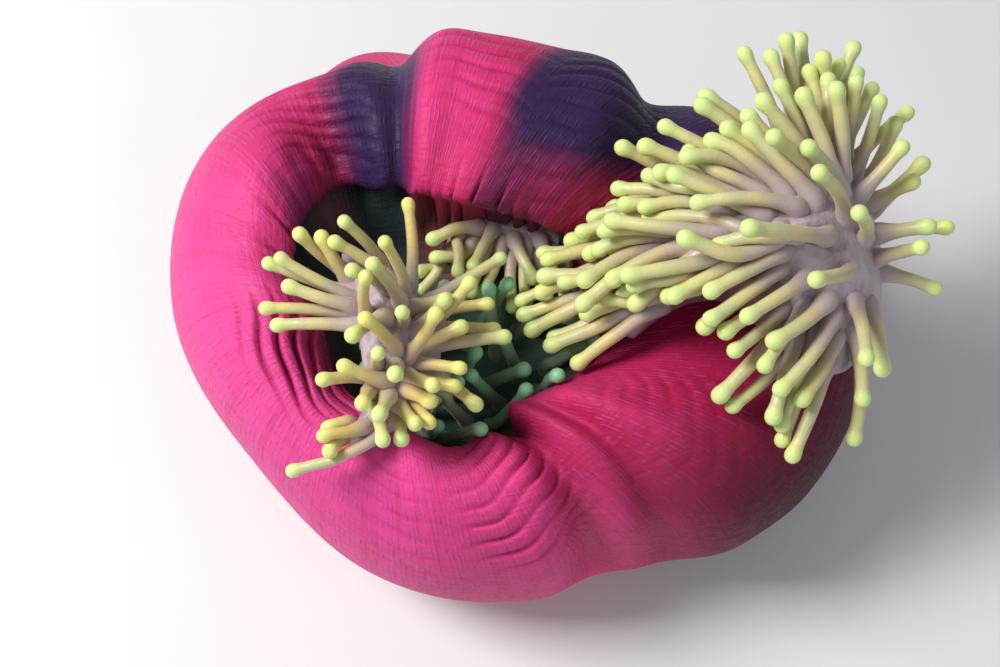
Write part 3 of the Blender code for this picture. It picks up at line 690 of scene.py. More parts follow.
@dataclass
class ColumnSkin:
    """The whole column as one closed skin, from the pedal disc over the rim to the oral disc."""

    belly_radii: tuple[float, ...] = (149, 136, 120, 119, 131, 154, 143, 123, 117, 116, 113, 136)
    opening_radii: tuple[float, ...] = (56, 60, 49, 45, 55, 68, 51, 43, 45, 50, 45, 48)
    rim_heights: tuple[float, ...] = (118, 132, 149, 156, 151, 146, 139, 131, 125, 120, 119, 118)
    opening_centre: tuple[float, float] = (-28.0, -18.0)
    foot_share: float = 0.68
    floor_height: float = 78.0
    steps: tuple[int, int] = (400, 235)
    quick_steps: tuple[int, int] = (220, 96)
    tree_steps: tuple[int, int] = (102, 51)

    def plain(self, theta: Array, run: Array) -> Array:
        """The column without its folds.

        Args:
            theta: angles in radians.
            run: place from the foot, 0, over the rim to the mouth, 1.

        Returns:
            Points in millimetres.
        """
        belly = round_the_body(self.belly_radii, theta)
        opening = round_the_body(self.opening_radii, theta)
        rim = round_the_body(self.rim_heights, theta)
        low, none = self.floor_height, 0 * rim
        stations = (  # share of the way to the opening's centre, radius, height
            (0.00, self.foot_share * belly, none),
            (0.00, (self.foot_share + 0.03) * belly, 0.10 * rim),
            (0.00, 0.93 * belly, 0.26 * rim),
            (0.00, belly, 0.46 * rim),
            (0.10, 0.95 * belly, 0.74 * rim),
            (0.40, opening + 0.62 * (belly - opening), 0.94 * rim),
            (0.72, opening + 0.28 * (belly - opening), rim),
            (1.00, opening, 0.90 * rim),
            (1.00, opening + 8, 0.76 * rim),
            (1.00, 0.97 * opening, low + 9 + none),
            (1.00, 0.50 * opening, low + none),
            (1.00, 0 * opening, low + 1 + none),
        )
        rows = np.stack([np.stack(np.broadcast_arrays(*s), -1) for s in stations])
        flat = rows.reshape(len(stations), -1, 3)
        last = len(stations) - 1
        place = np.clip(run, 0, 1).ravel() * last
        i = np.clip(np.floor(place).astype(int), 0, last - 1)
        which = np.arange(place.size)
        a, b, c, d = (flat[np.clip(i + k, 0, last), which] for k in (-1, 0, 1, 2))
        shift, radius, height = catmull_rom(a, b, c, d, (place - i)[:, None]).T
        centre = shift[:, None] * np.array(self.opening_centre)
        level = centre + radius[:, None] * round_way(np.ravel(theta))
        return np.concatenate([level, height[:, None]], 1).reshape(np.shape(theta) + (3,))

    def core(self, theta: Array) -> Array:
        """The line round the middle of the thick rim, which the folds are drawn towards.

        Args:
            theta: angles in radians.

        Returns:
            Points in millimetres.
        """
        radius = round_the_body(self.belly_radii, theta) + round_the_body(self.opening_radii, theta)
        height = 0.62 * round_the_body(self.rim_heights, theta)
        level = np.array(self.opening_centre) / 2 + radius[..., None] / 2 * round_way(theta)
        return np.concatenate([level, height[..., None]], -1)

    def swell(self, theta: Array, run: Array) -> Array:
        """The slow bulges of the flank."""
        flank = smooth_step(0.05, 0.2, run) * (1 - smooth_step(0.5, 0.66, run))
        return 1.6 * flank * (np.sin(3 * theta + 9 * run) + 0.7 * np.sin(5 * theta - 7 * run + 1))

    def point(self, theta: Array, run: Array, wrinkled: bool = True) -> Array:
        """The skin with its folds and wrinkles.

        Args:
            theta: angles in radians.
            run: place from the foot, 0, over the rim to the mouth, 1.
            wrinkled: whether the small wrinkles are added.

        Returns:
            Points in millimetres.
        """
        plain = self.plain(theta, run)
        level = np.concatenate([round_way(theta), 0 * theta[..., None]], -1)
        from_core = unit(plain - self.core(theta))
        share = smooth_step(0.28, 0.46, run)[..., None]
        outwards = unit(level + (from_core - level) * share)
        push = self.swell(theta, run) - sum(crease.depth_at(theta, run) for crease in CREASES)
        if wrinkled:
            push = push - sum(patch.depth_at(theta, run) for patch in WRINKLES)
        return plain + outwards * push[..., None]

    def grid(self, steps: tuple[int, int]) -> tuple[Array, Array]:
        """Angles and runs of a grid over the skin, finer over the rim."""
        run = np.interp(np.arange(steps[1]) / steps[1], (0, 0.2, 0.85, 1), (0, 0.28, 0.74, 1))
        return np.meshgrid(np.arange(steps[0]) * 2 * math.pi / steps[0], run, indexing="ij")

    def faces(self, steps: tuple[int, int]) -> Faces:
        """Faces of the closed skin: the grid, the mouth's fan and the foot.

        Args:
            steps: points around and up its grid.

        Returns:
            The corner numbers of each face.
        """
        around, up = steps
        made = grid_faces(around, up, closed_round=True)
        starts = [(i * up, (i + 1) % around * up) for i in range(around)]
        made += [(this + up - 1, after + up - 1, around * up) for this, after in starts]
        made += [(this, around * up + 1, after) for this, after in starts]
        return made

    def ends(self) -> Array:
        """The mouth's and the foot's middle points."""
        return np.array([[*self.opening_centre, self.floor_height + 1], [0.0, 0.0, 0.0]])

    def tree(self) -> BVHTree:
        """A search tree of the skin without its wrinkles."""
        points = self.point(*self.grid(self.tree_steps), wrinkled=False).reshape(-1, 3)
        return tree_of(np.concatenate([points, self.ends()]), self.faces(self.tree_steps))

    def build(self, finish: ColumnFinish) -> Object:
        """Makes the skin with the attributes its finish reads.

        Args:
            finish: its finish.

        Returns:
            The object.
        """
        steps = self.steps
        theta, run = self.grid(steps)
        points = np.concatenate([self.point(theta, run).reshape(-1, 3), self.ends()])
        made = smooth_object("body_skin", points, self.faces(steps))
        self.add_marks(made.data, theta.ravel(), run.ravel())
        self.add_map(made.data, steps)
        made.data.materials.append(finish.build())
        return made

    def add_marks(self, mesh: Mesh, theta: Array, run: Array) -> None:
        """Stores the masks that the finish reads.

        Args:
            mesh: the skin's mesh.
            theta: each grid point's angle in radians.
            run: each grid point's place from the foot, 0, to the mouth, 1.
        """
        # painted shade: the skin is darker where the creases and the wrinkles draw it in
        deep = sum(np.maximum(crease.depth_at(theta, run), 0) for crease in CREASES) / 16
        fine = sum(np.maximum(patch.depth_at(theta, run), 0) for patch in WRINKLES) / 2.6
        degrees = np.degrees(theta)
        # painted shadow: violet bands down the back and inside the rim
        painted_shadow = sum(
            share * bell(turned(degrees, angle), width)
            * smooth_step(low, low + 0.27, run) * (1 - fade * smooth_step(0.50, 0.60, run))
            for angle, width, low, share, fade in PAINTED_SHADOWS
        )
        low = 0.45 * (1 - smooth_step(0.10, 0.26, run))
        # painted shade: mask of the inner wall and the floor of the hole
        inner = run - 0.07 * bell(turned(degrees, 76), 36, 4)
        disc = 0.6 * smooth_step(0.64, 0.73, inner) + 0.4 * smooth_step(0.76, 0.86, inner)
        # painted light: mask of the lit left flank, weaker over the lip
        painted_light = 0.66 * bell(turned(degrees, 208), 74) * (1 - 0.5 * smooth_step(0.5, 0.62, run))
        # painted shade: mask of the lower right flank
        painted_shade_maroon = 0.96 * bell(turned(degrees, 332), 32, 4) * (1 - smooth_step(0.34, 0.55, run))
        for name, values, ends in (
            ("crease", np.clip(0.55 * deep + 0.65 * fine, 0, 0.85), (0, 0)),
            ("painted_shadow", np.clip(painted_shadow, 0, 1), (0, 0)),
            ("low", low, (0, 0.45)),
            ("painted_light", painted_light, (0, 0)),
            ("painted_shade_maroon", painted_shade_maroon, (0, 0)),
            ("disc", disc, (1, 0)),
        ):
            mark(mesh, name, np.concatenate([values, ends]))
        ring = np.concatenate([round_way(theta), run[:, None]], -1)
        mark(mesh, "ring", np.concatenate([ring, [[0, 0, 1], [0, 0, 0]]]))

    def add_map(self, mesh: Mesh, steps: tuple[int, int]) -> None:
        """Adds the map that the rows of warts follow: turns round the body, and run.

        Args:
            mesh: the skin's mesh.
            steps: points around and up its grid.
        """
        around, up = steps
        corners = numbers_of(mesh.loops, "vertex_index")
        column = np.where(corners < around * up, corners // up, 0)
        row = np.where(corners < around * up, corners % up, up)
        sizes = numbers_of(mesh.polygons, "loop_total")
        top = np.maximum.reduceat(column, numbers_of(mesh.polygons, "loop_start"))
        top = np.repeat(top, sizes)
        wraps = (top == around - 1) & (column == 0)
        turns = (column + around * wraps) / around
        uv = mesh.uv_layers.new(name="skin")
        uv.data.foreach_set("uv", np.stack([turns, row / up], -1).astype(np.float32).ravel())


# --- the folds of the oral disc -----------------------------------------------------------------


@dataclass
class DiscFold:
    """A fold of the oral disc: a soft slab lofted along three lines, with tentacles on top."""

    name: str
    inner: tuple[tuple[float, ...], ...]
    ridge: tuple[tuple[float, ...], ...]
    outer: tuple[tuple[float, ...], ...]
    ridge_at: float
    thickness: float
    combing: Combing
    edge: float = 5.0
    ruffle: float = 1.6
    wave: float = 0.0
    steps: tuple[int, int] = (22, 44)
    tree_steps: tuple[int, int] = (7, 9)

    def across(self, inner: Array, ridge: Array, outer: Array, b: Array) -> Array:
        """The smooth line across the fold.

        Args:
            inner: its point on the inner edge.
            ridge: its point on the ridge.
            outer: its point on the outer edge.
            b: where to read it, from -1 at the inner edge to 1 at the outer edge.

        Returns:
            The point there.
        """
        at = self.ridge_at
        to_inner = (b - at) * (b - 1) / (2 * (1 + at))
        to_ridge = (1 - b * b) / (1 - at * at)
        to_outer = (b - at) * (b + 1) / (2 * (1 - at))
        return to_inner * inner + to_ridge * ridge + to_outer * outer

    def lines(self, a: Array) -> tuple[Array, Array, Array]:
        """The three lines that the fold is lofted along.

        Args:
            a: shares of their length.

        Returns:
            The points there of the inner edge, the ridge and the outer edge.
        """
        inner, ridge, outer = (along(line, a) for line in (self.inner, self.ridge, self.outer))
        outer[..., 2] += self.wave * (np.sin(17 * a) + 0.6 * np.sin(31 * a + 1))
        return inner, ridge, outer

    def surface(self, a: Array, b: Array) -> Array:
        """Point on the upper side: a runs along the ridge, b across it from -1 to 1."""
        return self.across(*self.lines(a), np.asarray(b)[..., None])

    def frame(self, a: float, b: float) -> tuple[Array, Array]:
        """Where a root stands on the upper side.

        Args:
            a: share of the way along the ridge.
            b: place across it, from -1 to 1.

        Returns:
            The point there and the unit normal, upwards.
        """
        step = 1e-3
        a = np.clip(a, step, 1 - step)
        ridge_way = unit(self.surface(a + step, b) - self.surface(a - step, b))
        out_way = unit(self.surface(a, b + step) - self.surface(a, b - step))
        start, middle, end = map(np.array, (self.inner[0], self.outer[0], self.ridge[-1]))
        upwards = np.sign(np.cross(middle - start, end - start)[2])
        return self.surface(a, b), unit(np.cross(out_way, ridge_way)) * upwards

    def slab(self, steps: tuple[int, int], ruffle: float) -> tuple[Array, Faces]:
        """Points and faces of the closed slab.

        Args:
            steps: points across and along.
            ruffle: height of the waves on its upper side.

        Returns:
            Points in millimetres and faces.
        """
        rows, columns = steps
        a, b = np.meshgrid(np.linspace(0, 1, columns), np.linspace(-1, 1, rows), indexing="ij")
        inner, ridge, outer = self.lines(a)
        top = self.surface(a, b)
        waves = np.sin(31 * a + 3 * b) * np.sin(9 * b + 5 * a) + 0.6 * np.sin(17 * a - 11 * b)
        top[..., 2] += ruffle * waves * (1 - b * b)
        deep = ridge - (0, 0, self.thickness)
        under = self.across(inner, deep, outer, b[..., None]) - (0, 0, self.edge)
        loop = np.concatenate([top, under[:, ::-1]], 1)
        around = loop.shape[1]
        faces = grid_faces(columns, around, closed_round=False)
        faces += [
            (i * around + around - 1, (i + 1) * around + around - 1, (i + 1) * around, i * around)
            for i in range(columns - 1)
        ]
        for first in (0, (columns - 1) * around):
            last = first + around - 1
            faces += [(first + j, first + j + 1, last - j - 1, last - j) for j in range(rows - 1)]
        return loop.reshape(-1, 3), faces

    def tree(self) -> BVHTree:
        """A search tree of the slab."""
        return tree_of(*self.slab(self.tree_steps, 0.0))

    def build(self, material: Material) -> Object:
        """Makes the smooth slab.

        Args:
            material: its finish.

        Returns:
            The object.
        """
        points, faces = self.slab(self.steps, self.ruffle)
        made = smooth_object(f"{self.name}_skin", points, faces)
        rows = self.steps[0]
        row = np.arange(len(points)) % (2 * rows)
        # painted shade: the underside rows are marked darker
        mark(made.data, "painted_underside", smooth_step(rows - 2, rows + 2, row) * 0.7)
        smoother = made.modifiers.new("round_edges", "SUBSURF")
        smoother.levels = smoother.render_levels = 2
        made.data.materials.append(material)
        return made


FOLDS = (
    DiscFold(
        "fold_right",
        inner=((44, -25, 115), (30, -18, 110), (22, -8, 106), (29, 8, 108), (60, 30, 122)),
        ridge=((89, -21, 142), (110, -19, 152), (121, -6, 158), (119, 17, 156), (110, 48, 142)),
        outer=((98, -41, 118), (125, -39, 118), (141, -5, 120), (141, 36, 118), (127, 72, 111)),
        ridge_at=0.5,
        thickness=20.0,
        combing=Combing.OVER,
        wave=3.0,
    ),
    DiscFold(
        "fold_left",
        inner=((-46, 4, 108), (-34, -12, 110), (-31, -30, 112), (-33, -48, 109), (-43, -64, 106)),
        ridge=((-58, 0, 138), (-49, -24, 147), (-45, -44, 148), (-46, -60, 141), (-55, -71, 130)),
        outer=((-69, 2, 133), (-64, -21, 139), (-59, -41, 140), (-58, -58, 134), (-63, -72, 125)),
        ridge_at=0.0,
        thickness=16.0,
        combing=Combing.TUFTS,
    ),
    DiscFold(
        "fold_back",
        inner=((-28, 19, 96), (-8, 18, 96), (16, 16, 96)),
        ridge=((-29, 25, 101), (-8, 27, 104), (17, 25, 103)),
        outer=((-30, 32, 102), (-8, 34, 105), (18, 32, 104)),
        ridge_at=0.0,
        thickness=8.0,
        combing=Combing.TUFTS,
        ruffle=0.5,
    ),
)


# --- tentacles ----------------------------------------------------------------------------------


@dataclass
class Tentacle:
    """One tentacle: what it grows from, its path in millimetres and its look."""

    owner: str
    path: Array
    tone: float = 0.5
    girth: float = 1.0


@dataclass(frozen=True)
class Tuft:
    """Tentacles that grow close together: where from, which way, how many and how long."""

    root: Triple
    towards: Triple
    fan: float
    count: int
    lengths: tuple[float, float]


@dataclass(frozen=True)
class Lie:
    """How tentacles lie near one place: which way, how long and how far apart they grow."""

    place: Triple
    towards: Triple
    length: float
    spacing: float


LIES = (
    Lie((107, 39, 148), (-0.45, 0.75, 0.45), 47, 6.2),
    Lie((114, 47, 140), (-0.20, 0.60, 0.75), 46, 6.2),
    Lie((122, 45, 138), (0.20, 0.65, 0.75), 40, 7.5),
    Lie((137, 41, 127), (0.20, 0.60, 0.75), 30, 10.0),
    Lie((100, 25, 156), (-0.85, 0.45, 0.25), 38, 6.2),
    Lie((114, 26, 154), (-0.25, 0.50, 0.80), 36, 6.5),
    Lie((103, 15, 160), (-0.80, 0.25, 0.55), 38, 7.0),
    Lie((97, 2, 165), (-0.90, 0.30, 0.10), 40, 7.5),
    Lie((92, -9, 164), (-0.90, 0.20, -0.15), 42, 7.5),
    Lie((119, 0, 158), (-0.60, -0.10, 0.80), 38, 12.0),
    Lie((114, -18, 155), (-0.60, -0.30, 0.75), 40, 12.0),
    Lie((86, -11, 161), (-0.85, 0.15, -0.35), 44, 7.0),
    Lie((72, -10, 155), (-0.90, 0.00, -0.40), 44, 7.0),
    Lie((66, -16, 147), (-0.90, -0.05, -0.40), 42, 7.0),
    Lie((46, -12, 131), (-0.90, -0.10, -0.40), 38, 7.0),
    Lie((62, -18, 140), (-0.90, -0.30, -0.35), 38, 7.0),
    Lie((81, -16, 149), (-0.80, -0.45, 0.20), 36, 6.0),
    Lie((93, -15, 155), (-0.75, -0.60, 0.20), 40, 8.0),
    Lie((88, -22, 143), (-0.80, -0.55, -0.10), 36, 5.6),
    Lie((97, -24, 144), (-0.70, -0.65, 0.15), 34, 5.8),
    Lie((103, -28, 141), (-0.65, -0.60, -0.40), 40, 6.5),
    Lie((108, -31, 139), (-0.50, -0.75, 0.40), 33, 6.5),
    Lie((113, -34, 136), (-0.35, -0.65, -0.65), 40, 6.5),
    Lie((120, -33, 135), (-0.15, -0.65, -0.75), 38, 6.5),
    Lie((128, -22, 139), (-0.30, -0.70, 0.60), 36, 12.0),
    Lie((129, -27, 131), (0.30, -0.70, -0.60), 34, 8.5),
    Lie((124, 0, 156), (-0.35, -0.10, 0.90), 34, 13.0),
    Lie((129, -14, 145), (-0.40, -0.35, 0.85), 36, 13.0),
    Lie((139, -2, 130), (0.80, -0.40, 0.40), 26, 9.5),
    Lie((140, 10, 130), (0.90, -0.20, 0.35), 26, 9.5),
    Lie((136, 21, 135), (0.70, 0.60, 0.40), 26, 9.5),
)

TUFTS = {
    "fold_left": (
        Tuft((-62, -26, 133), (-0.92, 0.22, 0.25), 9, 5, (30, 37)),
        Tuft((-66, -18, 132), (-0.42, 0.42, 0.80), 16, 2, (24, 29)),
        Tuft((-56, -10, 138), (-0.54, 0.06, 0.84), 5, 1, (30, 32)),
        Tuft((-52, -18, 140), (-0.84, 0.08, 0.54), 5, 1, (32, 34)),
        Tuft((-46, -20, 138), (-0.34, 0.14, 0.92), 5, 1, (30, 32)),
        Tuft((-51, -27, 141), (-0.60, 0.02, 0.80), 12, 2, (29, 30)),
        Tuft((-42, -4, 124), (-0.16, 0.60, 0.79), 5, 1, (35, 37)),
        Tuft((-44, -22, 138), (0.92, -0.10, 0.36), 5, 1, (17, 18)),
        Tuft((-39, -30, 135), (0.54, 0.50, 0.68), 5, 1, (30, 32)),
        Tuft((-36, -12, 118), (0.85, 0.39, 0.20), 5, 1, (37, 39)),
        Tuft((-50, -34, 145), (0.02, -0.20, 0.97), 14, 2, (22, 27)),
        Tuft((-53, -34, 145), (-0.60, -0.62, 0.50), 5, 1, (24, 25)),
        Tuft((-47, -46, 146), (-0.62, 0.05, 0.78), 5, 1, (22, 24)),
        Tuft((-43, -46, 146), (0.25, 0.10, 0.96), 5, 1, (27, 29)),
        Tuft((-38, -38, 138), (0.76, 0.50, 0.42), 16, 2, (20, 24)),
        Tuft((-36, -38, 134), (0.94, 0.30, 0.10), 5, 1, (32, 34)),
        Tuft((-32, -24, 118), (0.95, 0.10, 0.05), 16, 2, (25, 29)),
        Tuft((-38, -47, 141), (0.80, -0.25, 0.50), 5, 1, (22, 24)),
        Tuft((-35, -46, 134), (0.84, -0.50, -0.05), 5, 1, (29, 30)),
        Tuft((-37, -53, 140), (0.86, -0.20, 0.00), 5, 1, (18, 20)),
        Tuft((-46, -53, 148), (0.08, -0.30, 0.95), 14, 2, (22, 25)),
        Tuft((-42, -57, 145), (0.61, -0.56, 0.56), 5, 1, (24, 25)),
        Tuft((-51, -57, 143), (-0.88, -0.10, 0.46), 18, 2, (18, 22)),
        Tuft((-48, -60, 142), (-0.10, -0.65, 0.75), 16, 2, (17, 20)),
        Tuft((-41, -61, 141), (0.50, -0.68, 0.53), 16, 3, (18, 22)),
        Tuft((-47, -64, 138), (0.12, -0.88, 0.45), 16, 2, (17, 20)),
        Tuft((-58, -67, 130), (-0.95, -0.16, 0.20), 4, 1, (39, 40)),
        Tuft((-60, -69, 129), (-0.66, -0.60, 0.40), 26, 3, (15, 20)),
    ),
    "fold_back": (
        Tuft((-25, 24, 102), (-0.80, -0.55, 0.00), 12, 5, (23, 28)),
        Tuft((-16, 25, 104), (-0.40, -0.90, 0.00), 12, 6, (24, 29)),
        Tuft((-5, 25, 104), (-0.05, -0.95, 0.00), 12, 6, (24, 29)),
        Tuft((6, 23, 104), (0.35, -0.90, 0.00), 12, 6, (23, 28)),
    ),
}

LOOKS = {  # tint from, tint up to, and girth of the tentacles of each owner; low tints paint shade green, most of all on the floor of the hole
    "fold_right": (0.25, 0.80, 1.02),
    "fold_left": (0.60, 1.0, 0.88),
    "fold_back": (0.22, 0.60, 0.92),
    "oral_disc": (0.0, 0.12, 0.92),
}


@dataclass
class Garden:
    """Grows the tentacles' paths, moves them apart and makes them one mesh."""

    column: ColumnSkin
    folds: tuple[DiscFold, ...]
    stem_radius: float = 2.6
    bulb_radius: float = 3.2
    closed_radius: float = 0.02
    root_depth: float = 4.5
    root_spacing: float = 6.6
    path_points: int = 9
    lie_reach: float = 8.0
    stray: float = 0.22
    neighbour_gap: float = 1.0
    over_seed: int = 12
    tuft_seed: int = 11
    disc_seed: int = 8
    tint_and_shade_seed: int = 3
    darts: int = 4000
    tuft_grid: tuple[int, int] = (90, 70)
    spreading_rounds: int = 40
    rings: tuple[tuple[float, int], ...] = ((9.0, 3), (19.0, 7), (30.0, 11), (40.0, 13))
    most_behind: float = 13.0
    least_height: float = 2.0
    rounds: int = 100
    quick_rounds: int = 20
    owner_gap: float = 1.6
    push_share: float = 0.42
    longest_push: float = 2.5
    pull_back: float = 0.02
    fine_points: int = 200
    stem_rings: int = 12
    sides: int = 14
    grown: list[Tentacle] = field(default_factory=list)

    def path(
        self, root: Array, normal: Array, flow: Array, length: float, random: np.random.RandomState
    ) -> Array:
        """A path that leaves the disc along its normal, turns into the flow and droops a little.

        Args:
            root: where it leaves the skin.
            normal: the skin's normal there.
            flow: the way it ends up pointing.
            length: its length.
            random: source of its sway.

        Returns:
            Points in millimetres, the first one sunk in the skin.
        """
        step = length / (self.path_points - 2)
        sway = unit(np.cross(flow, normal) + 1e-6) * random.uniform(-0.60, 0.60)
        points = [root - self.root_depth * normal, root]
        for k in range(self.path_points - 2):
            turn = min(1.0, (k + 0.6) / 3)
            sag = np.array((0, 0, -0.035 * k))
            way = unit((1 - turn) * (normal + 0.3 * flow) + turn * (flow + sag + sway * k / 6))
            points.append(points[-1] + step * way)
        return np.array(points)

    def over(self, fold: DiscFold) -> list[Tentacle]:
        """Tentacles all over one fold, each lying as the lies near its root do.

        Args:
            fold: the fold.

        Returns:
            Its tentacles, wherever a dart lands far enough from the roots before it.
        """
        random = np.random.RandomState(self.over_seed)
        a, b = random.uniform(0.02, 0.98, self.darts), random.uniform(-0.9, 0.94, self.darts)
        places = fold.surface(a, b)
        apart = ((places[:, None] - np.array([lie.place for lie in LIES])) ** 2).sum(-1)
        share = np.exp(-apart / (2 * self.lie_reach**2)) + 1e-12
        share /= share.sum(1, keepdims=True)
        towards = share @ np.array([unit(np.array(lie.towards)) for lie in LIES])
        length, spacing = (share @ np.array([[lie.length, lie.spacing] for lie in LIES])).T
        made, roots = [], np.empty((0, 3))
        for k, place in enumerate(places):
            if len(roots) and np.linalg.norm(roots - place, axis=1).min() < spacing[k]:
                continue
            roots = np.vstack([roots, place])
            root, normal = fold.frame(a[k], b[k])
            flow = unit(unit(towards[k]) + random.uniform(-self.stray, self.stray, 3))
            path = self.path(root, normal, flow, length[k] * random.uniform(0.82, 1.1), random)
            made.append(Tentacle(fold.name, path))
        return made

    def spread(self, wishes: Array, places: Array) -> Array:
        """Moves wished roots apart.

        Args:
            wishes: where they would grow.
            places: where they can grow.

        Returns:
            The number of the place where each one grows.
        """
        roots = wishes.copy()
        nearest = np.zeros(len(wishes), int)
        for _ in range(self.spreading_rounds):
            between = roots[:, None] - roots[None, :]
            distance = np.linalg.norm(between, axis=-1) + 1e-6
            push = np.maximum(self.root_spacing - distance, 0) * (distance > 1e-3)
            roots += 0.3 * (between / distance[..., None] * push[..., None]).sum(1)
            nearest = ((places[None] - roots[:, None]) ** 2).sum(-1).argmin(1)
            roots = places[nearest]
        return nearest

    def in_tufts(self, fold: DiscFold) -> list[Tentacle]:
        """Tentacles of all the tufts on one fold.

        Args:
            fold: the fold.

        Returns:
            Its tentacles.
        """
        random = np.random.RandomState(self.tuft_seed)
        along_it, across_it = self.tuft_grid
        a = np.repeat(np.linspace(0.06, 0.94, along_it), across_it)
        b = np.tile(np.linspace(-0.8, 0.85, across_it), along_it)
        wishes, flows, lengths = [], [], []
        for tuft in TUFTS[fold.name]:
            towards = unit(np.array(tuft.towards))
            side = unit(np.cross(towards, (0.0, 0.0, 1.0)))
            rise = np.cross(side, towards)
            for k in range(tuft.count):
                turn = 2.4 * k + random.uniform(-0.3, 0.3)
                out = math.sqrt((k + 0.4) / tuft.count)
                lean = math.tan(math.radians(tuft.fan)) * out
                reach = out * 4 * math.sqrt(tuft.count)
                wishes.append(tuft.root + reach * np.array((math.cos(turn), math.sin(turn), 0)))
                flows.append(unit(towards + lean * (math.cos(turn) * side + math.sin(turn) * rise)))
                lengths.append(random.uniform(*tuft.lengths))
        chosen = self.spread(np.array(wishes), fold.surface(a, b))
        made = []
        for place, flow, length in zip(chosen, flows, lengths):
            root, normal = fold.frame(a[place], b[place])
            made.append(Tentacle(fold.name, self.path(root, normal, flow, length, random)))
        return made

    def on_the_disc(self) -> list[Tentacle]:
        """Tentacles in rings on the bottom of the hole, leaning outwards from the mouth."""
        random = np.random.RandomState(self.disc_seed)
        middle = np.array((*self.column.opening_centre, self.column.floor_height))
        made = []
        up = np.array((0, 0, 1.0))
        for ring, count in self.rings:
            for k in range(count):
                angle = 2 * math.pi * (k + random.uniform(-0.2, 0.2)) / count + ring
                away = np.array((math.cos(angle), math.sin(angle), 0))
                if ring * away[1] > self.most_behind:
                    continue
                lean = np.array((random.uniform(-0.5, 0.8), random.uniform(-0.5, 0.5), 1.0))
                flow = unit((0.5 - 0.015 * ring) * away + lean)
                length = random.uniform(34, 44)
                path = self.path(middle + ring * away, up, flow, length, random)
                made.append(Tentacle("oral_disc", path))
        return made

    def grow(self) -> None:
        """Grows every tentacle whose root is clear of the column, then moves them apart."""
        skin = self.column.tree()
        for fold in self.folds:
            self.grown += self.over(fold) if fold.combing is Combing.OVER else self.in_tufts(fold)
        clear = [height_over(t.path[1], skin)[0] > self.least_height for t in self.grown]
        self.grown = [t for t, is_clear in zip(self.grown, clear) if is_clear]
        self.grown += self.on_the_disc()
        self.keep_apart([skin] + [fold.tree() for fold in self.folds])
        random = np.random.RandomState(self.tint_and_shade_seed)
        for tentacle in self.grown:
            low, high, girth = LOOKS[tentacle.owner]
            tentacle.tone = random.uniform(low, high)
            tentacle.girth = girth * random.uniform(0.92, 1.08)

    def keep_apart(self, obstacles: list[BVHTree]) -> None:
        """Moves the paths apart and off the skin, keeping each one's length and smoothness.

        Args:
            obstacles: search trees of what they stay clear of.
        """
        paths = np.stack([t.path for t in self.grown])
        first = paths.copy()
        count, points, _ = paths.shape
        segment = np.linalg.norm(np.diff(first, axis=1), axis=2)
        radius = np.full(points, self.stem_radius)
        radius[-1] = self.bulb_radius
        names = sorted({t.owner for t in self.grown})
        owner = np.array([names.index(t.owner) for t in self.grown])
        free = slice(2, points)
        which = np.repeat(np.arange(count), points - 2)
        size = np.tile(radius[free], count)
        apart = size[:, None] + size[None, :] + self.neighbour_gap
        apart = apart + self.owner_gap * (owner[which][:, None] != owner[which][None, :])
        apart[which[:, None] == which[None, :]] = 0
        rise = np.tile(np.arange(2, points) / points, count)
        rounds = self.rounds
        for turn in range(rounds):
            flat = paths[:, free].reshape(-1, 3)
            between = flat[:, None] - flat[None, :]
            distance = np.sqrt((between**2).sum(-1)) + 1e-6
            overlap = np.maximum(apart - distance, 0)
            push = between / distance[..., None]
            push[..., 2] += 0.5 * np.sign(rise[:, None] - rise[None, :])
            move = self.push_share * (push * overlap[..., None]).sum(1)
            far = np.linalg.norm(move, axis=1, keepdims=True)
            move = move / np.maximum(1, far / self.longest_push)
            paths[:, free] += move.reshape(count, points - 2, 3)
            middle = (paths[:, 1:-1] + (paths[:, :-2] + paths[:, 2:]) / 2) / 2
            paths[:, 2:-1] += 0.5 * (middle[:, 1:] - paths[:, 2:-1])
            paths[:, free] += self.pull_back * (first[:, free] - paths[:, free])
            for k in range(1, points - 1):
                way = unit(paths[:, k + 1] - paths[:, k])
                paths[:, k + 1] = paths[:, k] + way * segment[:, k, None]
            if turn % 3 == 0 or turn == rounds - 1:
                for i in range(count):
                    for k in range(2, points):
                        paths[i, k] = off_the_skin(paths[i, k], radius[k] + 1.0, obstacles)
        for tentacle, path in zip(self.grown, paths):
            tentacle.path = path

    def profile(self, tentacle: Tentacle) -> tuple[Array, Array]:
        """Points along one path, close together at its tip.

        Args:
            tentacle: the tentacle.

        Returns:
            The points, and for each its girth in metres, its share of the length, the bulb's mask
            and the tint, whose low values paint shade green.
        """
        fine = along(tentacle.path, np.linspace(0, 1, self.fine_points))
        run = np.concatenate([[0], np.cumsum(np.linalg.norm(np.diff(fine, axis=0), axis=1))])
        length, big = run[-1], self.bulb_radius * tentacle.girth
        thin = self.stem_radius * tentacle.girth
        back = np.array((0, 0.06, 0.25, 0.6, 1.0, 1.4, 1.9, 2.5, 3.2)) * big
        rest = np.linspace(back[-1], length - 0.2, self.stem_rings + 1)[1:]
        from_tip = np.concatenate([back, rest, [length]])[::-1]
        place = length - from_tip
        cap = np.sqrt(np.maximum(0, big**2 - np.maximum(0, big - from_tip) ** 2))
        stem = thin * (1.12 - 0.22 * place / length)
        neck = stem + (big - stem) * (1 - smooth_step(1.1 * big, 2.5 * big, from_tip))
        flare = 1 + 0.6 * (1 - smooth_step(0.0, 13.0, place - 1.0))
        thick = np.where(from_tip < big, cap, neck) * flare
        thick[[0, -1]] = self.closed_radius
        bulb = 1 - smooth_step(1.2 * big, 3.0 * big, from_tip)
        points = np.stack([np.interp(place, run, fine[:, k]) for k in range(3)], -1)
        tone = np.full(len(place), tentacle.tone)
        return points, np.stack([thick * MM, place / length, bulb, tone], -1)

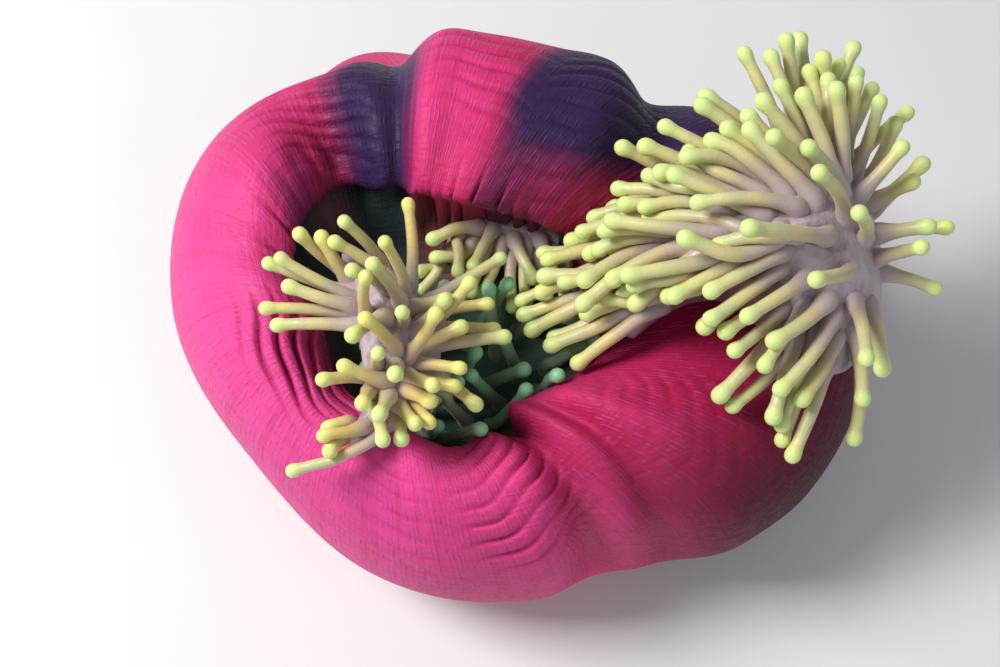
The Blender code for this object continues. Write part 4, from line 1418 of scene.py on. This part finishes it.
    def threads(self) -> Object:
        """The paths as one mesh of edges with the girth and the masks of each point."""
        points, marks = map(np.concatenate, zip(*(self.profile(t) for t in self.grown)))
        size = len(points) // len(self.grown)
        edges = [(k, k + 1) for k in range(len(points)) if (k + 1) % size]
        mesh = bpy.data.meshes.new("tentacles")
        mesh.from_pydata((points * MM).tolist(), edges, [])
        for name, values in zip(("girth", "along", "bulb", "tone"), marks.T):
            mark(mesh, name, values)
        return new_object("tentacles", mesh)

    def build(self, finish: TentacleFinish) -> Object:
        """Makes the tentacles as one plain mesh.

        Args:
            finish: their finish.

        Returns:
            The object.
        """
        made = self.threads()
        material = finish.build()
        tree = FingerTree().build()
        modifier = made.modifiers.new("fingers", "NODES")
        modifier.node_group = tree
        known = {item.name: item.identifier for item in tree.interface.items_tree}
        modifier[known["Sides"]] = self.sides
        modifier[known["Material"]] = material
        bpy.context.view_layer.update()
        graph = bpy.context.evaluated_depsgraph_get()
        mesh = bpy.data.meshes.new_from_object(made.evaluated_get(graph))
        made.modifiers.remove(modifier)
        made.data = mesh
        return made


def height_over(point: Array, tree: BVHTree) -> tuple[float, Array, float]:
    """Finds where a point lies over a skin.

    Args:
        point: the point.
        tree: the skin's search tree.

    Returns:
        Its height over the nearest face, that face's normal and its distance.
    """
    place, normal, _, distance = tree.find_nearest(point.tolist())
    return (point - np.array(place)) @ np.array(normal), np.array(normal), distance


def off_the_skin(point: Array, clearance: float, obstacles: list[BVHTree]) -> Array:
    """Moves a point out of the skins it is too near to.

    Args:
        point: the point.
        clearance: how far off a skin it stays.
        obstacles: search trees of the skins.

    Returns:
        The point, moved out along the normals if it has to be.
    """
    for tree in obstacles:
        height, normal, distance = height_over(point, tree)
        if height < clearance and distance < 3 * clearance:
            point = point + normal * (clearance - height)
    return point


@dataclass(frozen=True)
class FingerTree:
    """Geometry nodes that sweep a ring along each thread, as wide as the thread's girth."""

    name: str = "finger_sweep"
    closing: float = 0.00006

    def build(self) -> bpy.types.NodeTree:
        """Makes the tree with its Sides and Material inputs."""
        ways = (("INPUT", "Geometry", "Geometry"), ("INPUT", "Int", "Sides"))
        ways += (("INPUT", "Material", "Material"), ("OUTPUT", "Geometry", "Swept"))
        tree = new_tree("GeometryNodeTree", self.name, ways)
        tree.is_modifier = True
        r = Recipe(tree)
        given = r.add("NodeGroupInput").outputs
        girth = r.add("GeometryNodeInputNamedAttribute", {"Name": "girth"}, data_type="FLOAT")
        threads = r.add("GeometryNodeMeshToCurve", {0: given["Geometry"]}).outputs[0]
        around = {"Resolution": given["Sides"], "Radius": 1.0}
        ring = r.add("GeometryNodeCurvePrimitiveCircle", around, mode="RADIUS").outputs[0]
        swept = {"Curve": threads, "Profile Curve": ring, "Scale": girth.outputs[0]}
        sweep = r.add("GeometryNodeCurveToMesh", swept).outputs[0]
        close = r.add("GeometryNodeMergeByDistance", {"Geometry": sweep, "Distance": self.closing})
        smooth = r.add("GeometryNodeSetShadeSmooth", {0: close.outputs[0]}).outputs[0]
        painted = r.add("GeometryNodeSetMaterial", {0: smooth, "Material": given["Material"]})
        r.add("NodeGroupOutput", {0: painted.outputs[0]})
        return tree


# --- studio -------------------------------------------------------------------------------------


@dataclass
class Studio:
    """Pale floor, soft light and the camera."""

    target: Triple = (-0.008, -0.006, 0.075)
    distance: float = 0.56
    elevation: float = 66.0
    lens: float = 48.0
    lit_height: float = 0.08

    def floor(self) -> None:
        """Lays the floor."""
        work = bmesh.new()
        bmesh.ops.create_grid(work, x_segments=8, y_segments=8, size=3.0)
        mesh = bpy.data.meshes.new("floor")
        work.to_mesh(mesh)
        work.free()
        mesh.materials.append(FloorFinish().build())
        made = new_object("floor", mesh)

    def aimed(self, name: str, data: bpy.types.ID, place: Vector, way: Vector) -> Object:
        """Places a lamp or a camera that looks along a way.

        Args:
            name: its name.
            data: its light or camera data.
            place: where it is, in metres.
            way: where it looks.

        Returns:
            The object.
        """
        made = new_object(name, data)
        made.location = place
        made.rotation_mode = "QUATERNION"
        made.rotation_quaternion = way.to_track_quat("-Z", "Y")
        return made

    def lamp(self, name: str, place: Triple, size: float, power: float, tint: Triple) -> None:
        """Hangs a soft square lamp that faces the model.

        Args:
            name: its name.
            place: where it hangs, in metres.
            size: side of the square in metres.
            power: watts.
            tint: its colour.
        """
        lamp = bpy.data.lights.new(name, "AREA")
        lamp.size = size
        lamp.energy = power
        lamp.color = tint
        self.aimed(name, lamp, Vector(place), Vector((0, 0, self.lit_height)) - Vector(place))

    def build(self) -> None:
        """Sets up the floor, the lamps, the world and the camera."""
        scene = bpy.context.scene
        self.floor()
        self.lamp("key", (-0.85, 0.05, 1.15), 0.5, 20.5, (1.0, 0.98, 0.95))
        self.lamp("fill", (0.9, -0.9, 0.9), 1.2, 3.5, (0.92, 0.96, 1.0))
        world = bpy.data.worlds.new("soft_room")
        world.use_nodes = True
        background = world.node_tree.nodes["Background"]
        background.inputs["Color"].default_value = (0.86, 0.91, 0.96, 1)
        background.inputs["Strength"].default_value = 0.31
        scene.world = world
        scene.view_settings.view_transform = "Standard"
        camera = bpy.data.cameras.new("camera")
        camera.lens = self.lens
        camera.sensor_width = 36.0
        tilt = math.radians(self.elevation)
        back = Vector((0.0, -math.cos(tilt), math.sin(tilt)))
        place = Vector(self.target) + back * self.distance
        scene.camera = self.aimed("camera", camera, place, -back)


def main() -> None:
    """Builds the piece classes in order and hands them to the frame."""
    logging.basicConfig(level=logging.INFO, format="%(name)s: %(message)s")
    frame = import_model()
    LOG.info("frame holds %d nodes", len(frame["nodes"]))

    column = ColumnSkin()
    skin = column.build(ColumnFinish())
    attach(skin, "root")
    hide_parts(*(n for n in frame["nodes"] if not n.startswith("fold_")))
    LOG.info("body skin: %d faces", len(skin.data.polygons))

    disc_look = DiscFinish().build()
    for fold in FOLDS:
        slab = fold.build(disc_look)
        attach(slab, "root")
        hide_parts(fold.name)
        LOG.info("%s: %d faces", slab.name, len(slab.data.polygons))

    garden = Garden(column, FOLDS)
    garden.grow()
    fingers = garden.build(TentacleFinish())
    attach(fingers, "root")
    LOG.info("%d tentacles: %d faces", len(garden.grown), len(fingers.data.polygons))

    Studio().build()


if __name__ == "__main__":
    main()
